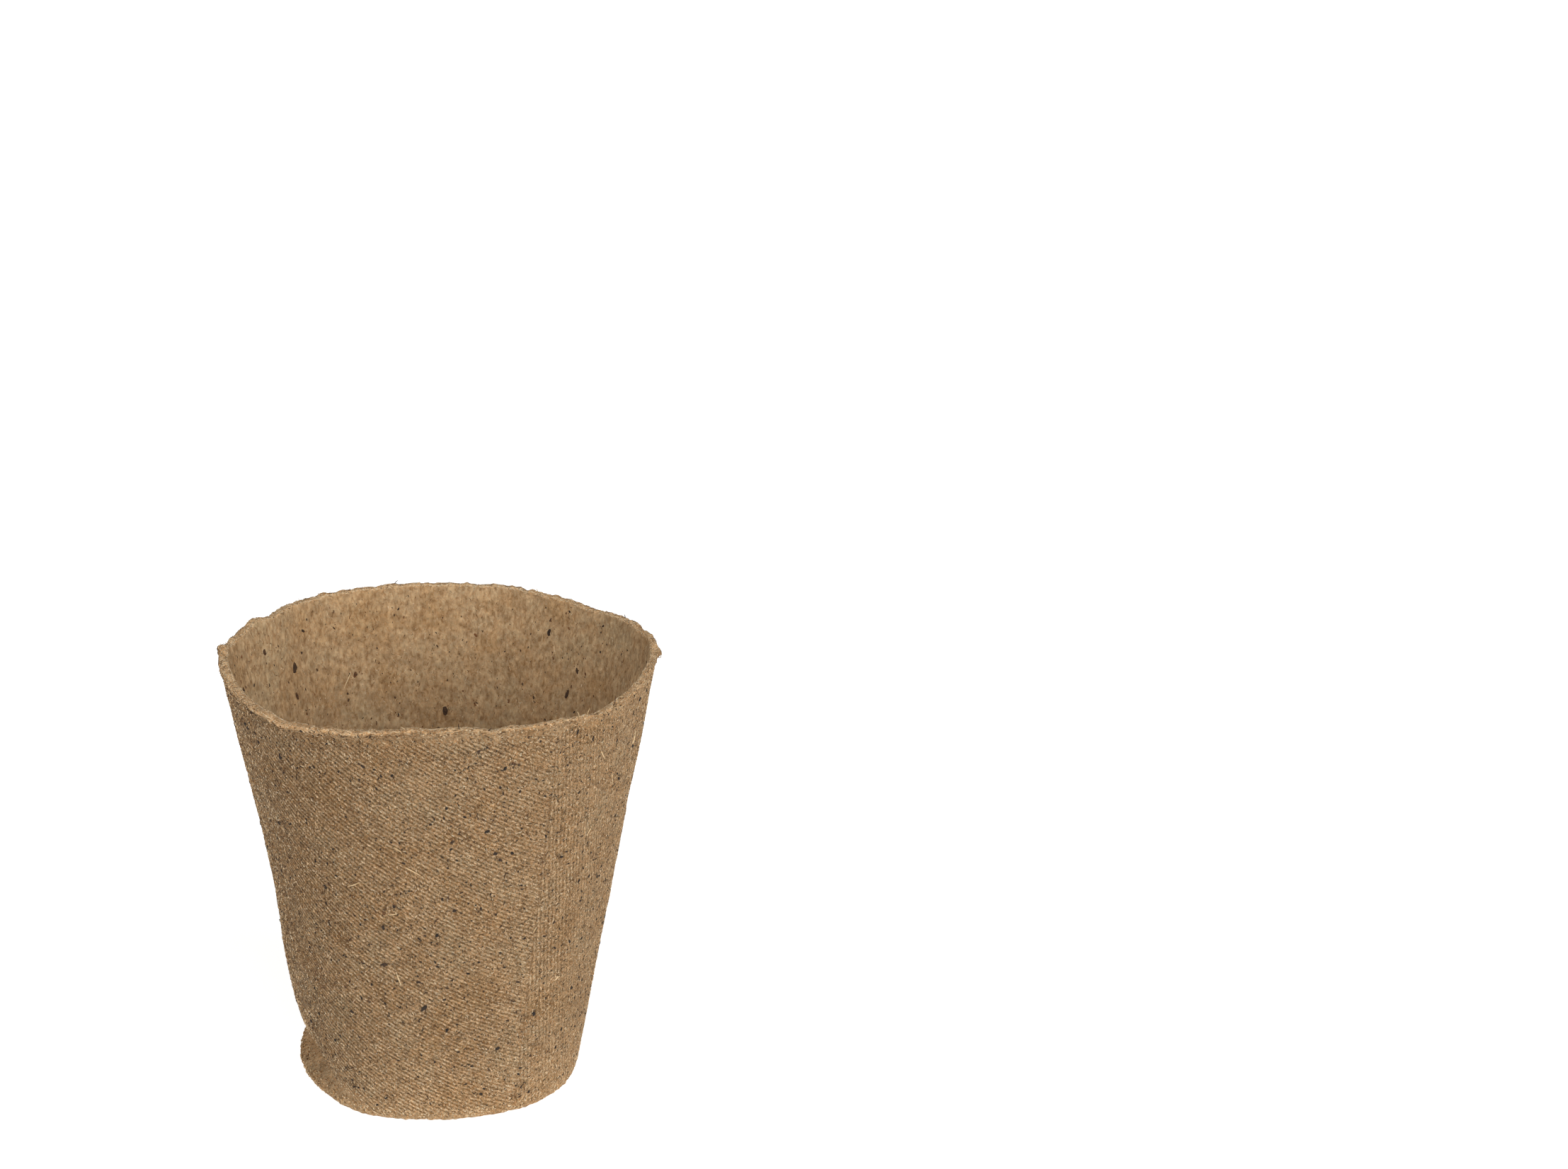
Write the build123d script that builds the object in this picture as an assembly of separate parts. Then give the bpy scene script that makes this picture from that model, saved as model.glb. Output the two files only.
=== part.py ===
from build123d import *
import os
from math import cos, exp, pi, radians, sin, sqrt

# Peat pot: one moulded felt of peat and wood fibre, with the coarse bits that are pressed into it.
# Millimetres. Origin at the middle of the foot, on the surface the pot stands on, +Z up through the mouth.
# Angles are in degrees round +Z from +X. The front of the pot is at -90 degrees, the -Y side.

# Moulded felt
pot_height = 82.0
mouth_radius = 39.4
foot_radius = 26.3
felt_thickness = 1.4
floor_thickness = 1.8
heel_radius = 0.6
inner_corner_radius = 3.0

# Rim: a pressed lip all round, which overhangs most at the front left
lip_height = 1.5
lip_overhang = 0.55
lip_shoulder_share = 0.5
lip_least_share = 0.25
lip_angle = -132
lip_width = 24

# Left wall: a shallow hollow half way up, and a dent that leaves the edge of the foot standing out
hollow_depth = 1.55
hollow_height = 42.0
hollow_spread = 17.0
hollow_angle = 185
hollow_width = 40
dent_depth = 4.1
dent_crease_height = 3.0
dent_fade_height = 8.0
dent_angle = 200
dent_width = 18
foot_edge_height = 1.3

# How far the mouth and the foot leave a true circle, and the rim a level line.
# Each row is an angle, a width in degrees and a share of the mouth radius, the foot radius or the height.
mouth_shares = [
    (-127, 15, 0.024),
    (-55, 14, 0.030),
    (-98, 10, -0.012),
    (-16, 10, -0.014),
    (44, 15, -0.042),
    (90, 26, -0.017),
    (151, 10, -0.054),
    (168, 8, -0.016),
]
foot_shares = [
    (-44, 19, 0.070),
    (-122, 14, 0.036),
]
rim_shares = [
    (-130, 20, -0.023),
    (-52, 14, -0.009),
    (62, 16, 0.004),
    (150, 9, 0.005),
]

# Closed curves round the pot that the skin is made from: points in each, and where they lie
ring_points = 48
heel_rings = 3
crown_rings = 4
corner_rings = 3
wall_ring_shares = [0.055, 0.085, 0.13, 0.19, 0.27, 0.37, 0.48, 0.60, 0.72, 0.83, 0.92]

# Bark crumbs. Each row is an angle, a share of the pot's height, a length and a turn from upright.
crumb_width_share = 0.62
crumb_depth_share = 0.5
crumb_top_share = 0.6
crumb_sunk_share = 0.55
crumb_outline_shares = [(0.5, 0.1), (0.12, 0.5), (-0.4, 0.36), (-0.5, -0.16), (0.04, -0.5)]
outer_crumb_places = [
    (-136, 0.342, 1.4, 10),
    (-108, 0.415, 2.0, 65),
    (-97, 0.376, 1.6, 80),
    (-107, 0.550, 1.5, -20),
    (-121, 0.277, 1.4, 30),
    (-144, 0.241, 1.3, 5),
    (-95.5, 0.308, 2.3, 40),
    (-134.5, 0.884, 1.9, 20),
    (-55, 0.960, 1.5, 15),
    (-81, 0.945, 1.5, 5),
    (-72, 0.912, 1.4, -35),
    (-87, 0.731, 1.3, 25),
    (-28, 0.520, 1.6, -15),
    (20, 0.660, 1.8, 30),
    (64, 0.350, 2.2, -50),
    (112, 0.700, 1.5, 10),
    (151, 0.420, 1.9, 35),
]
inner_crumb_places = [
    (144, 0.862, 2.8, -14),
    (137, 0.935, 1.5, 60),
    (158.5, 0.925, 1.8, 10),
    (145, 0.797, 2.2, 8),
    (175, 0.890, 1.9, 6),
    (119, 0.800, 1.6, -20),
    (89, 0.691, 2.5, 0),
    (79, 0.600, 1.5, 12),
    (54, 0.915, 1.9, -10),
    (44, 0.782, 2.6, -12),
    (41, 0.847, 1.7, 18),
    (14, 0.700, 1.6, 24),
    (-60, 0.520, 1.9, -6),
    (-120, 0.630, 1.7, 10),
]

# Straw slivers, long flat bits with pointed ends. The rows are as for the crumbs.
sliver_width = 0.6
sliver_depth = 0.45
sliver_top_share = 0.7
sliver_sunk_share = 0.6
sliver_outline_shares = [(0.5, 0.0), (0.3, 0.5), (-0.3, 0.5), (-0.5, 0.0), (-0.3, -0.5), (0.3, -0.5)]
outer_sliver_places = [
    (-103.5, 0.384, 3.4, -16),
    (-98, 0.656, 3.8, -58),
    (-115.5, 0.610, 3.2, 62),
    (-44.5, 0.880, 3.0, -35),
    (-24.5, 0.860, 3.4, 20),
    (35, 0.500, 5.0, 25),
    (130, 0.220, 4.2, -40),
]
inner_sliver_places = [
    (155, 0.940, 3.4, -20),
    (122, 0.790, 4.2, -34),
    (74, 0.500, 3.4, 30),
    (10, 0.600, 3.8, -12),
]

# Loose fibres at the torn rim. Each row is an angle, a length, a lean along the rim, and a bow.
fibre_diameter = 0.24
fibre_root_share = 0.3
pale_fibre_places = [
    (-55, 3.4, -30, 0.14),
    (-52, 2.6, 18, -0.12),
    (-91, 2.6, 40, 0.20),
    (-99, 2.2, -50, 0.18),
    (-39, 3.0, -48, 0.12),
    (60, 3.0, 35, 0.15),
    (128, 2.6, -30, -0.20),
    (176, 2.4, 50, 0.14),
]
dark_fibre_places = [
    (-86, 2.8, -4, 0.05),
    (-79, 2.4, 45, 0.22),
    (-42, 3.2, 12, 0.22),
    (25, 2.8, 45, 0.12),
    (104, 2.6, -45, 0.18),
]


def lobe(angle, centre, width):
    """A smooth hump round the pot: 1 at the centre, falling away over the width on both sides."""
    away = (angle - centre + 180) % 360 - 180
    return exp(-((away / width) ** 2) / 2)


def lobes(angle, shares):
    return sum(share * lobe(angle, centre, width) for centre, width, share in shares)


def smooth_step(value):
    """0 below 0, 1 above 1, and an even S curve between."""
    held = min(max(value, 0), 1)
    return held * held * (3 - 2 * held)


def rounding(radius, climb):
    """How far a quarter round of this radius holds a face back at a height above its foot."""
    left = max(1 - climb / radius, 0)
    return radius * (1 - sqrt(1 - left ** 2))


def rim_height(angle):
    return pot_height * (1 + lobes(angle, rim_shares))


def follow_rim(angle, share):
    """The height at a share of the pot's height, which dips with the rim only near the top."""
    return share * (pot_height + (rim_height(angle) - pot_height) * share ** 3)


def taper_radius(angle, height):
    """The outside of the straight wall from foot to mouth, less the hollow on the left."""
    foot = foot_radius * (1 + lobes(angle, foot_shares))
    mouth = mouth_radius * (1 + lobes(angle, mouth_shares))
    level = exp(-(((height - hollow_height) / hollow_spread) ** 2) / 2)
    hollow = hollow_depth * lobe(angle, hollow_angle, hollow_width) * level
    return foot + (mouth - foot) * height / pot_height - hollow


def dent(angle, height):
    """The dent above the foot: deepest up to its crease, then fading up the wall."""
    above = max(height - dent_crease_height, 0)
    return dent_depth * lobe(angle, dent_angle, dent_width) * exp(-above / dent_fade_height)


def outer_radius(angle, height):
    """The outer face: the foot's edge stands out under the dent, and the lip stands out at the rim."""
    edge = smooth_step((height - foot_edge_height) / (dent_crease_height - foot_edge_height))
    swell = lip_least_share + (1 - lip_least_share) * lobe(angle, lip_angle, lip_width)
    into_lip = 1 - (rim_height(angle) - height) / lip_height
    lip = lip_overhang * swell * smooth_step(into_lip / lip_shoulder_share)
    return taper_radius(angle, height) - dent(angle, height) * edge - rounding(heel_radius, height) + lip


def inner_radius(angle, height):
    """The inner face: one felt thickness in from the wall, with a round corner down to the floor."""
    corner = rounding(inner_corner_radius, height - floor_thickness)
    return taper_radius(angle, height) - dent(angle, height) - felt_thickness - corner


def crown(angle, turn):
    """A point of the rounded rim, from the outer face at turn 0 over the top to the inner face at turn pi."""
    top = rim_height(angle)
    outside = outer_radius(angle, top)
    inside = inner_radius(angle, top)
    half = (outside - inside) / 2
    return (outside + inside) / 2 + half * cos(turn), top - half + half * sin(turn)


def round_pot(angle):
    return Vector(cos(radians(angle)), sin(radians(angle)), 0)


def ring(radius_at, height_at):
    """A closed smooth curve round the pot, at a radius and a height for each angle."""
    angles = [360 * index / ring_points for index in range(ring_points)]
    points = [round_pot(angle) * radius_at(angle) + Vector(0, 0, height_at(angle)) for angle in angles]
    return Wire([Edge.make_spline(points, periodic=True)])


def face_ring(face_radius, height_at):
    return ring(lambda angle: face_radius(angle, height_at(angle)), height_at)


def make_felt():
    """One skin up the outside, over the rim and down the inside, closed by the foot and the floor."""
    heel_heights = [heel_radius * (1 - cos(pi / 2 * index / heel_rings)) for index in range(heel_rings)]
    edge_heights = [foot_edge_height, (foot_edge_height + dent_crease_height) / 2, dent_crease_height]
    rings = [face_ring(outer_radius, lambda angle: height) for height in heel_heights + edge_heights]
    for share in wall_ring_shares:
        rings.append(face_ring(outer_radius, lambda angle: follow_rim(angle, share)))
    for drop in (lip_height, lip_height * (1 - lip_shoulder_share)):
        rings.append(face_ring(outer_radius, lambda angle: rim_height(angle) - drop))
    for index in range(crown_rings + 1):
        turn = pi * index / crown_rings
        rings.append(ring(lambda angle: crown(angle, turn)[0], lambda angle: crown(angle, turn)[1]))
    for share in reversed(wall_ring_shares):
        rings.append(face_ring(inner_radius, lambda angle: follow_rim(angle, share)))
    for index in range(corner_rings, -1, -1):
        climb = inner_corner_radius * (1 - cos(pi / 2 * index / corner_rings))
        rings.append(face_ring(inner_radius, lambda angle: floor_thickness + climb))
    return Solid.make_loft(rings, ruled=True)


def wall_plane(angle, height, turn, face_radius, out):
    """A plane on a face of the wall, z out of the felt, x up the wall and then turned along it by some degrees.

    out is 1 on the outer face and -1 on the inner one.
    """
    low = face_radius(angle, height - felt_thickness)
    high = face_radius(angle, height + felt_thickness)
    up_wall = (round_pot(angle) * (high - low) + Vector(0, 0, 2 * felt_thickness)).normalized()
    along = round_pot(angle + 90)
    origin = round_pot(angle) * face_radius(angle, height) + Vector(0, 0, height)
    lengthwise = up_wall * cos(radians(turn)) + along * sin(radians(turn))
    return Plane(origin=origin, x_dir=lengthwise, z_dir=along.cross(up_wall) * out)


def make_bit(plane, outline_shares, length, width, depth, sunk_share, top_share):
    """A flat bit with sloping sides: its outline on two levels, the lower one sunk in the felt."""
    levels = ((-sunk_share * depth, 1), ((1 - sunk_share) * depth, top_share))
    wires = []
    for lift, spread in levels:
        corners = [plane.from_local_coords((along * length * spread, across * width * spread, lift))
                   for along, across in outline_shares]
        wires.append(Wire.make_polygon(corners))
    return Solid.make_loft(wires, ruled=True)


def make_crumbs(places, face_radius, out):
    crumbs = []
    for angle, share, length, turn in places:
        plane = wall_plane(angle, share * pot_height, turn, face_radius, out)
        crumbs.append(make_bit(plane, crumb_outline_shares, length, length * crumb_width_share,
                               length * crumb_depth_share, crumb_sunk_share, crumb_top_share))
    return crumbs


def make_slivers(places, face_radius, out):
    slivers = []
    for angle, share, length, turn in places:
        plane = wall_plane(angle, share * pot_height, turn, face_radius, out)
        slivers.append(make_bit(plane, sliver_outline_shares, length, sliver_width,
                                sliver_depth, sliver_sunk_share, sliver_top_share))
    return slivers


def make_fibres(places):
    """Round fibres rooted in the middle of the rim: each is one arc that leans along the rim and bows."""
    fibres = []
    for angle, length, lean, bow in places:
        top = rim_height(angle)
        middle = inner_radius(angle, top) + felt_thickness / 2
        along = round_pot(angle + 90)
        rise = Vector(0, 0, 1) * cos(radians(lean)) + along * sin(radians(lean))
        side = Vector(0, 0, 1) * -sin(radians(lean)) + along * cos(radians(lean))
        root = round_pot(angle) * middle + Vector(0, 0, top) - rise * length * fibre_root_share
        tip = root + rise * length
        path = Edge.make_three_point_arc(root, (root + tip) / 2 + side * length * bow, tip)
        section = Plane(origin=root, z_dir=path % 0) * Circle(fibre_diameter / 2)
        fibres.append(Solid.sweep(section.face(), path))
    return fibres


bits = {
    "outer_bark_crumbs": make_crumbs(outer_crumb_places, outer_radius, 1),
    "inner_bark_crumbs": make_crumbs(inner_crumb_places, inner_radius, -1),
    "outer_straw_slivers": make_slivers(outer_sliver_places, outer_radius, 1),
    "inner_straw_slivers": make_slivers(inner_sliver_places, inner_radius, -1),
    "pale_rim_fibres": make_fibres(pale_fibre_places),
    "dark_rim_fibres": make_fibres(dark_fibre_places),
}

# Every bit sits in its own pocket in the felt
felt = make_felt().cut(*[bit for group in bits.values() for bit in group])

os.makedirs("parts", exist_ok=True)
export_step(felt, "parts/moulded_felt_pot.step")
for name, group in bits.items():
    export_step(Compound(children=group), f"parts/{name}.step")
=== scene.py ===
import math

import bpy
import numpy as np
from mathutils import Matrix, Vector


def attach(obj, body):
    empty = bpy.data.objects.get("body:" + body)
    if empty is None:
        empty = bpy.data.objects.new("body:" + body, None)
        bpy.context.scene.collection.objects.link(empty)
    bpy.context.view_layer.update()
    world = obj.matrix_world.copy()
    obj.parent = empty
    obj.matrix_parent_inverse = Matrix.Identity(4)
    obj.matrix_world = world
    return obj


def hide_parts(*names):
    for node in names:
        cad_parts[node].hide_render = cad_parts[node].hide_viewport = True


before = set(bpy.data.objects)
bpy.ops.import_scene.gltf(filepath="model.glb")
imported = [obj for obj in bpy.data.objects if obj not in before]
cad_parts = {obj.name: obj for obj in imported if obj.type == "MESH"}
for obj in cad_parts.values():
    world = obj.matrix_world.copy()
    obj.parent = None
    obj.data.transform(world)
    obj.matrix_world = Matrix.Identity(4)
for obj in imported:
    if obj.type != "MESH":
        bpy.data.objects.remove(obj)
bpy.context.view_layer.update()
print("frame loaded")

# Lengths in this file are millimetres, and angles are degrees round +Z from +X, as in the part's source.
# Meshes are written in metres.
metresPerMm = 0.001

# The pot as the part's source gives it. Shares are of the mouth radius, the foot radius or the height.
pot = {
    "height": 82.0,
    "mouthRadius": 39.4,
    "footRadius": 26.3,
    "feltThickness": 1.4,
    "floorThickness": 1.8,
    "heelRadius": 0.6,
    "innerCornerRadius": 3.0,
    "lipHeight": 1.5,
    "lipOverhang": 0.55,
    "lipShoulderShare": 0.5,
    "lipLeastShare": 0.25,
    "lipAngle": -132,
    "lipWidth": 24,
    "hollowDepth": 1.55,
    "hollowHeight": 42.0,
    "hollowSpread": 17.0,
    "hollowAngle": 185,
    "hollowWidth": 40,
    "dentDepth": 4.1,
    "dentCreaseHeight": 3.0,
    "dentFadeHeight": 8.0,
    "dentAngle": 200,
    "dentWidth": 18,
    "footEdgeHeight": 1.3,
    "mouthShares": [(-127, 15, 0.024), (-55, 14, 0.030), (-98, 10, -0.012), (-16, 10, -0.014),
                    (44, 15, -0.042), (90, 26, -0.017), (151, 10, -0.054), (168, 8, -0.016)],
    "footShares": [(-44, 19, 0.070), (-122, 14, 0.036)],
    "rimShares": [(-130, 20, -0.023), (-52, 14, -0.009), (62, 16, 0.004), (150, 9, 0.005)],
}

# Tears and peaks along the rim that are too small for the solids: angle, width and rise in mm.
rimTears = [(-156, 5.5, -0.85), (-141, 4, -0.2), (-131, 3.5, -0.55), (-113.5, 2.5, -0.22), (-78, 2.5, -0.4),
            (-71.5, 2, -0.2), (-59, 4, 0.45), (-48, 3, -0.15), (-18, 6, 0.5), (6.8, 5, 0.75), (24, 6, 0.4),
            (40, 3, -0.3), (58, 4, -0.3), (102, 5, 0.15), (151, 2.2, -0.35), (159, 3.2, 0.75), (165, 2, 0.2),
            (180.5, 1.3, 0.8)]

# Finer shapes of the rim and the foot, in mm. A nub of pulp that stands out at the rim has an angle, a width
# and how far it stands out. Layers of lumps each have a height, a size and a seed; the lip's is a share.
edges = {
    "rimLumps": [(0.16, 1.7, 11), (0.10, 0.8, 12)],
    "lipLumps": [(0.3, 3.1, 13)],
    "footLumps": [(0.27, 1.3, 14), (0.162, 0.7, 15)],
    "footLumpsHeight": 2.4,
    "nubs": [(-1.5, 1.6, 0.85), (-143, 1.5, 0.35), (-108, 2.2, 0.3), (181, 1.2, 0.3)],
    "nubHeight": 1.6,
    "creaseDepth": 0.24,
    "creaseBelowRim": 1.75,
    "creaseSpread": 0.34,
    "rimSquareness": 0.46,
}

# Unevenness of the pressed pulp, in layers of lumps as above. Each reach is a stretch of way, as in skin.
pressing = {
    "broad": [(0.20, 11.0, 21), (0.10, 4.2, 22)],
    "small": [(0.055, 1.9, 23), (0.035, 1.0, 24)],
    "crumbly": [(0.20, 1.5, 25), (0.15, 0.8, 26)],
    "undersideLift": 0.34,
    "broadLostAtRim": 0.6,
    "heelReach": 0.03,
    "cornerReach": 0.04,
    "rimReach": 0.53,
    "poleReach": 0.3,
}

taperSlope = (pot["mouthRadius"] - pot["footRadius"]) / pot["height"]
taperTilt = math.atan(taperSlope)
wallTop = pot["height"] - pot["feltThickness"] / 2
latticeCells = 32


def lobe(angle, centre, width):
    # a smooth hump round the pot: e to the minus half of the squared distance in widths
    away = (angle - centre + 180) % 360 - 180
    return np.exp(-((away / width) ** 2) / 2)


def lobes(angle, shares):
    # humps added up, each with its centre, width and size
    return sum(share * lobe(angle, centre, width) for centre, width, share in shares)


def easeBetween(value, start, end):
    # 0 at the start and 1 at the end, which may be the lower one, with 3 t squared minus 2 t cubed between
    held = np.clip((value - start) / (end - start), 0, 1)
    return held * held * (3 - 2 * held)


def rounding(radius, climb):
    # how far a quarter round holds a face back at a height above its foot
    left = np.maximum(1 - climb / radius, 0)
    return radius * (1 - np.sqrt(np.maximum(1 - left ** 2, 0)))


def lumps(points, size, seed):
    # smooth random values from -1 to 1: a random lattice with cells of this size, eased between its corners
    lattice = np.random.default_rng(seed).uniform(-1, 1, (latticeCells,) * 3)
    scaled = points / size + 2 * latticeCells
    cell = np.floor(scaled).astype(int)
    ease = scaled - cell
    ease = ease * ease * (3 - 2 * ease)
    value = np.zeros(points.shape[:-1])
    for corner in range(8):
        step = np.array([corner & 1, corner >> 1 & 1, corner >> 2])
        weight = np.prod(np.where(step == 1, ease, 1 - ease), axis=-1)
        index = (cell + step) % latticeCells
        value += weight * lattice[index[..., 0], index[..., 1], index[..., 2]]
    return value


def lumpLayers(points, layers):
    # lumps of several sizes added up
    return sum(height * lumps(points, size, seed) for height, size, seed in layers)


def roundPot(angle, radius, height):
    # a point at an angle and a radius round the pot's axis
    turn = np.radians(angle)
    return np.stack([radius * np.cos(turn), radius * np.sin(turn), height + 0 * turn], axis=-1)


def onWall(angle, height):
    # a place on a plain cylinder, for patterns that only need to be even round the pot
    return roundPot(angle, pot["mouthRadius"] + 0 * angle, height)


def rimHeight(angle):
    # the law of the solids, then the tears, then fine raggedness that only follows the angle
    ragged = lumpLayers(onWall(angle, 0), edges["rimLumps"])
    return pot["height"] * (1 + lobes(angle, pot["rimShares"])) + lobes(angle, rimTears) + ragged


def taperRadius(angle, height):
    # a straight taper from the foot's radius to the mouth's, less the hollow pressed into the left side
    foot = pot["footRadius"] * (1 + lobes(angle, pot["footShares"]))
    mouth = pot["mouthRadius"] * (1 + lobes(angle, pot["mouthShares"]))
    level = np.exp(-(((height - pot["hollowHeight"]) / pot["hollowSpread"]) ** 2) / 2)
    hollow = pot["hollowDepth"] * lobe(angle, pot["hollowAngle"], pot["hollowWidth"]) * level
    return foot + (mouth - foot) * height / pot["height"] - hollow


def dent(angle, height):
    # how deep the wall is pushed in over the foot: full up to its crease, and e to the minus height above it
    fade = np.exp(-np.maximum(height - pot["dentCreaseHeight"], 0) / pot["dentFadeHeight"])
    return pot["dentDepth"] * lobe(angle, pot["dentAngle"], pot["dentWidth"]) * fade


def outerRadius(angle, height, rim):
    # the taper less the dent, the heel's rounding and the crease, plus the lip, the nubs and a ragged foot
    held = dent(angle, height) * easeBetween(height, pot["footEdgeHeight"], pot["dentCreaseHeight"])
    swell = pot["lipLeastShare"] + (1 - pot["lipLeastShare"]) * lobe(angle, pot["lipAngle"], pot["lipWidth"])
    below = rim - height
    lipHeight = pot["lipHeight"] * (1 + lumpLayers(onWall(angle, 0), edges["lipLumps"]))
    lip = pot["lipOverhang"] * swell * easeBetween(1 - below / lipHeight, 0, pot["lipShoulderShare"])
    nubs = lobes(angle, edges["nubs"]) * easeBetween(below, edges["nubHeight"], 0)
    intoCrease = (below - edges["creaseBelowRim"]) / edges["creaseSpread"]
    crease = edges["creaseDepth"] * swell * np.exp(-intoCrease ** 2)
    foot = lumpLayers(onWall(angle, height), edges["footLumps"])
    foot = foot * easeBetween(height, edges["footLumpsHeight"], 0)
    wall = taperRadius(angle, height) - held - rounding(pot["heelRadius"], height)
    return wall + lip + nubs - crease + foot


def innerRadius(angle, height):
    # the taper less the dent, the felt's thickness and the inner corner's rounding
    corner = rounding(pot["innerCornerRadius"], height - pot["floorThickness"])
    return taperRadius(angle, height) - dent(angle, height) - pot["feltThickness"] - corner


def skin(angle, way):
    # The felt's whole surface. way runs -1 to 0 from the middle of the underside to the heel, to 1 up the
    # outside, to 2 over the rim, to 3 down the inside and to 4 along the floor to its middle.
    # Gives the points and the direction out of the felt at each.
    angle, way = np.broadcast_arrays(np.asarray(angle, float), np.asarray(way, float))
    rim = rimHeight(angle)
    outside = outerRadius(angle, rim, rim)
    inside = innerRadius(angle, rim)
    half = (outside - inside) / 2
    shoulder = rim - half
    turn = math.pi * np.clip(way - 1, 0, 1)
    # the rim's section is a half circle pressed towards a half square
    acrossRim = np.sign(np.cos(turn)) * np.abs(np.cos(turn)) ** edges["rimSquareness"]
    overRim = np.abs(np.sin(turn)) ** edges["rimSquareness"]
    # the top of the wall is drawn out or shortened to meet the rim where it rises or falls
    up = np.clip(way, 0, 1)
    upHeight = up * (wallTop + (shoulder - wallTop) * up ** 3)
    down = np.clip(3 - way, 0, 1)
    floorTop = pot["floorThickness"]
    downHeight = floorTop + down * (wallTop - floorTop + (shoulder - wallTop) * down ** 3)
    zones = [way < 0, way <= 1, way <= 2, way <= 3]
    radius = np.select(zones, [(1 + way) * outerRadius(angle, 0, rim), outerRadius(angle, upHeight, rim),
                               (outside + inside) / 2 + half * acrossRim, innerRadius(angle, downHeight)],
                       (4 - way) * innerRadius(angle, floorTop))
    height = np.select(zones, [0 * way, upHeight, shoulder + half * overRim, downHeight], floorTop)
    outR = np.select(zones, [0 * way, math.cos(taperTilt), np.cos(turn), -math.cos(taperTilt)], 0)
    outZ = np.select(zones, [-1 + 0 * way, -math.sin(taperTilt), np.sin(turn), math.sin(taperTilt)], 1)
    out = roundPot(angle, outR, outZ)
    points = roundPot(angle, radius, height)
    return points + relief(points, way)[..., None] * np.where(way < 0, -1, 1)[..., None] * out, out


def relief(points, way):
    # How far the felt stands out in mm: broad waves and small lumps all over, and crumbs at the rim. It fades
    # to nothing in both corners and at the middles of the underside and the floor.
    corners = (easeBetween(np.abs(way), 0, pressing["heelReach"])
               * easeBetween(np.abs(way - 3), 0, pressing["cornerReach"]))
    poles = easeBetween(way, -1, -1 + pressing["poleReach"]) * easeBetween(way, 4, 4 - pressing["poleReach"])
    atRim = easeBetween(np.abs(way - 1.5), pressing["rimReach"], 0)
    lift = np.where(way < 0, pressing["undersideLift"], 0)   # the underside only ever rises from the bench
    broad = (1 - pressing["broadLostAtRim"] * atRim) * lumpLayers(points, pressing["broad"])
    fine = lumpLayers(points, pressing["small"]) + atRim * lumpLayers(points, pressing["crumbly"])
    return corners * poles * (lift + broad + fine)


def newPiece(name, points, corners, material, nodes=(), counts=None, smooth=True, shade=None):
    # A mesh from arrays: points in mm, the corner numbers face after face, and a shade from 0 to 1 for each
    # point. counts has each face's number of corners, and without it they are all triangles.
    if counts is None:
        counts = np.full(len(corners) // 3, 3)
    mesh = bpy.data.meshes.new(name)
    mesh.vertices.add(len(points))
    mesh.vertices.foreach_set("co", (points * metresPerMm).astype(np.float32).ravel())
    mesh.loops.add(len(corners))
    mesh.loops.foreach_set("vertex_index", corners.astype(np.int32))
    mesh.polygons.add(len(counts))
    mesh.polygons.foreach_set("loop_start", (np.cumsum(counts) - counts).astype(np.int32))
    mesh.polygons.foreach_set("use_smooth", np.full(len(counts), smooth))
    mesh.update(calc_edges=True)
    mesh.materials.append(material)
    if shade is not None:
        addAttribute(mesh, "shade", shade)
    piece = bpy.data.objects.new(name, mesh)
    bpy.context.scene.collection.objects.link(piece)
    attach(piece, "root")
    if nodes:
        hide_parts(*nodes)
    print(f"{name}: {len(counts)} faces")
    return piece


def addAttribute(mesh, name, values):
    # one value for each point, for the materials to read
    mesh.attributes.new(name, "FLOAT", "POINT").data.foreach_set("value", values.astype(np.float32))


def linear(hexColour):
    # an sRGB hex colour as the linear values that Blender works in
    channels = [int(hexColour[i:i + 2], 16) / 255 for i in (1, 3, 5)]
    return [c / 12.92 if c <= 0.04045 else ((c + 0.055) / 1.055) ** 2.4 for c in channels] + [1]


# The output that a node's value comes out of, for the kinds where it isn't the first.
mainOutput = {"ShaderNodeMix": "Result_Color", "ShaderNodeAttribute": "Fac", "ShaderNodeTexCoord": "Object"}
blend = {"data_type": "RGBA"}
multiply = {"data_type": "RGBA", "blend_type": "MULTIPLY"}
add = {"operation": "ADD"}
times = {"operation": "MULTIPLY"}
sine = {"operation": "SINE"}


def valueOf(node):
    # the socket that a node's value comes out of
    wanted = mainOutput.get(node.bl_idname)
    return next(socket for socket in node.outputs if wanted in (None, socket.identifier))


def addNode(tree, kind, settings=None, inputs=(), stops=None):
    # A node with its settings, its inputs and a ramp's stops. An input is a value, a socket or a whole node,
    # and inputs have their names or numbers, or come as a plain list in the node's own order.
    node = tree.nodes.new("ShaderNode" + kind)
    for name, value in (settings or {}).items():
        setattr(node, name, value)
    for place, value in (inputs if isinstance(inputs, dict) else dict(enumerate(inputs))).items():
        if isinstance(value, bpy.types.Node):
            value = valueOf(value)
        if isinstance(value, bpy.types.NodeSocket):
            tree.links.new(value, node.inputs[place])
        else:
            node.inputs[place].default_value = value
    if stops:
        ramp = node.color_ramp
        while len(ramp.elements) < len(stops):
            ramp.elements.new(0.5)
        for element, (place, colour) in zip(ramp.elements, stops):
            element.position = place
            element.color = linear(colour) if isinstance(colour, str) else (*colour, 1)
    return node


def cellsOf(size):
    # texture scale for cells of this size in mm, on coordinates in metres
    return 1 / (size * metresPerMm)


def newMaterial(name, roughness, gloss):
    # a plain surface with its roughness and gloss, still without a colour
    material = bpy.data.materials.new(name)
    material.use_nodes = True
    tree = material.node_tree
    tree.nodes.clear()
    shader = addNode(tree, "BsdfPrincipled", None, {"Roughness": roughness, "Specular IOR Level": gloss})
    addNode(tree, "OutputMaterial", None, {"Surface": shader})
    return material, tree, shader


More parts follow.
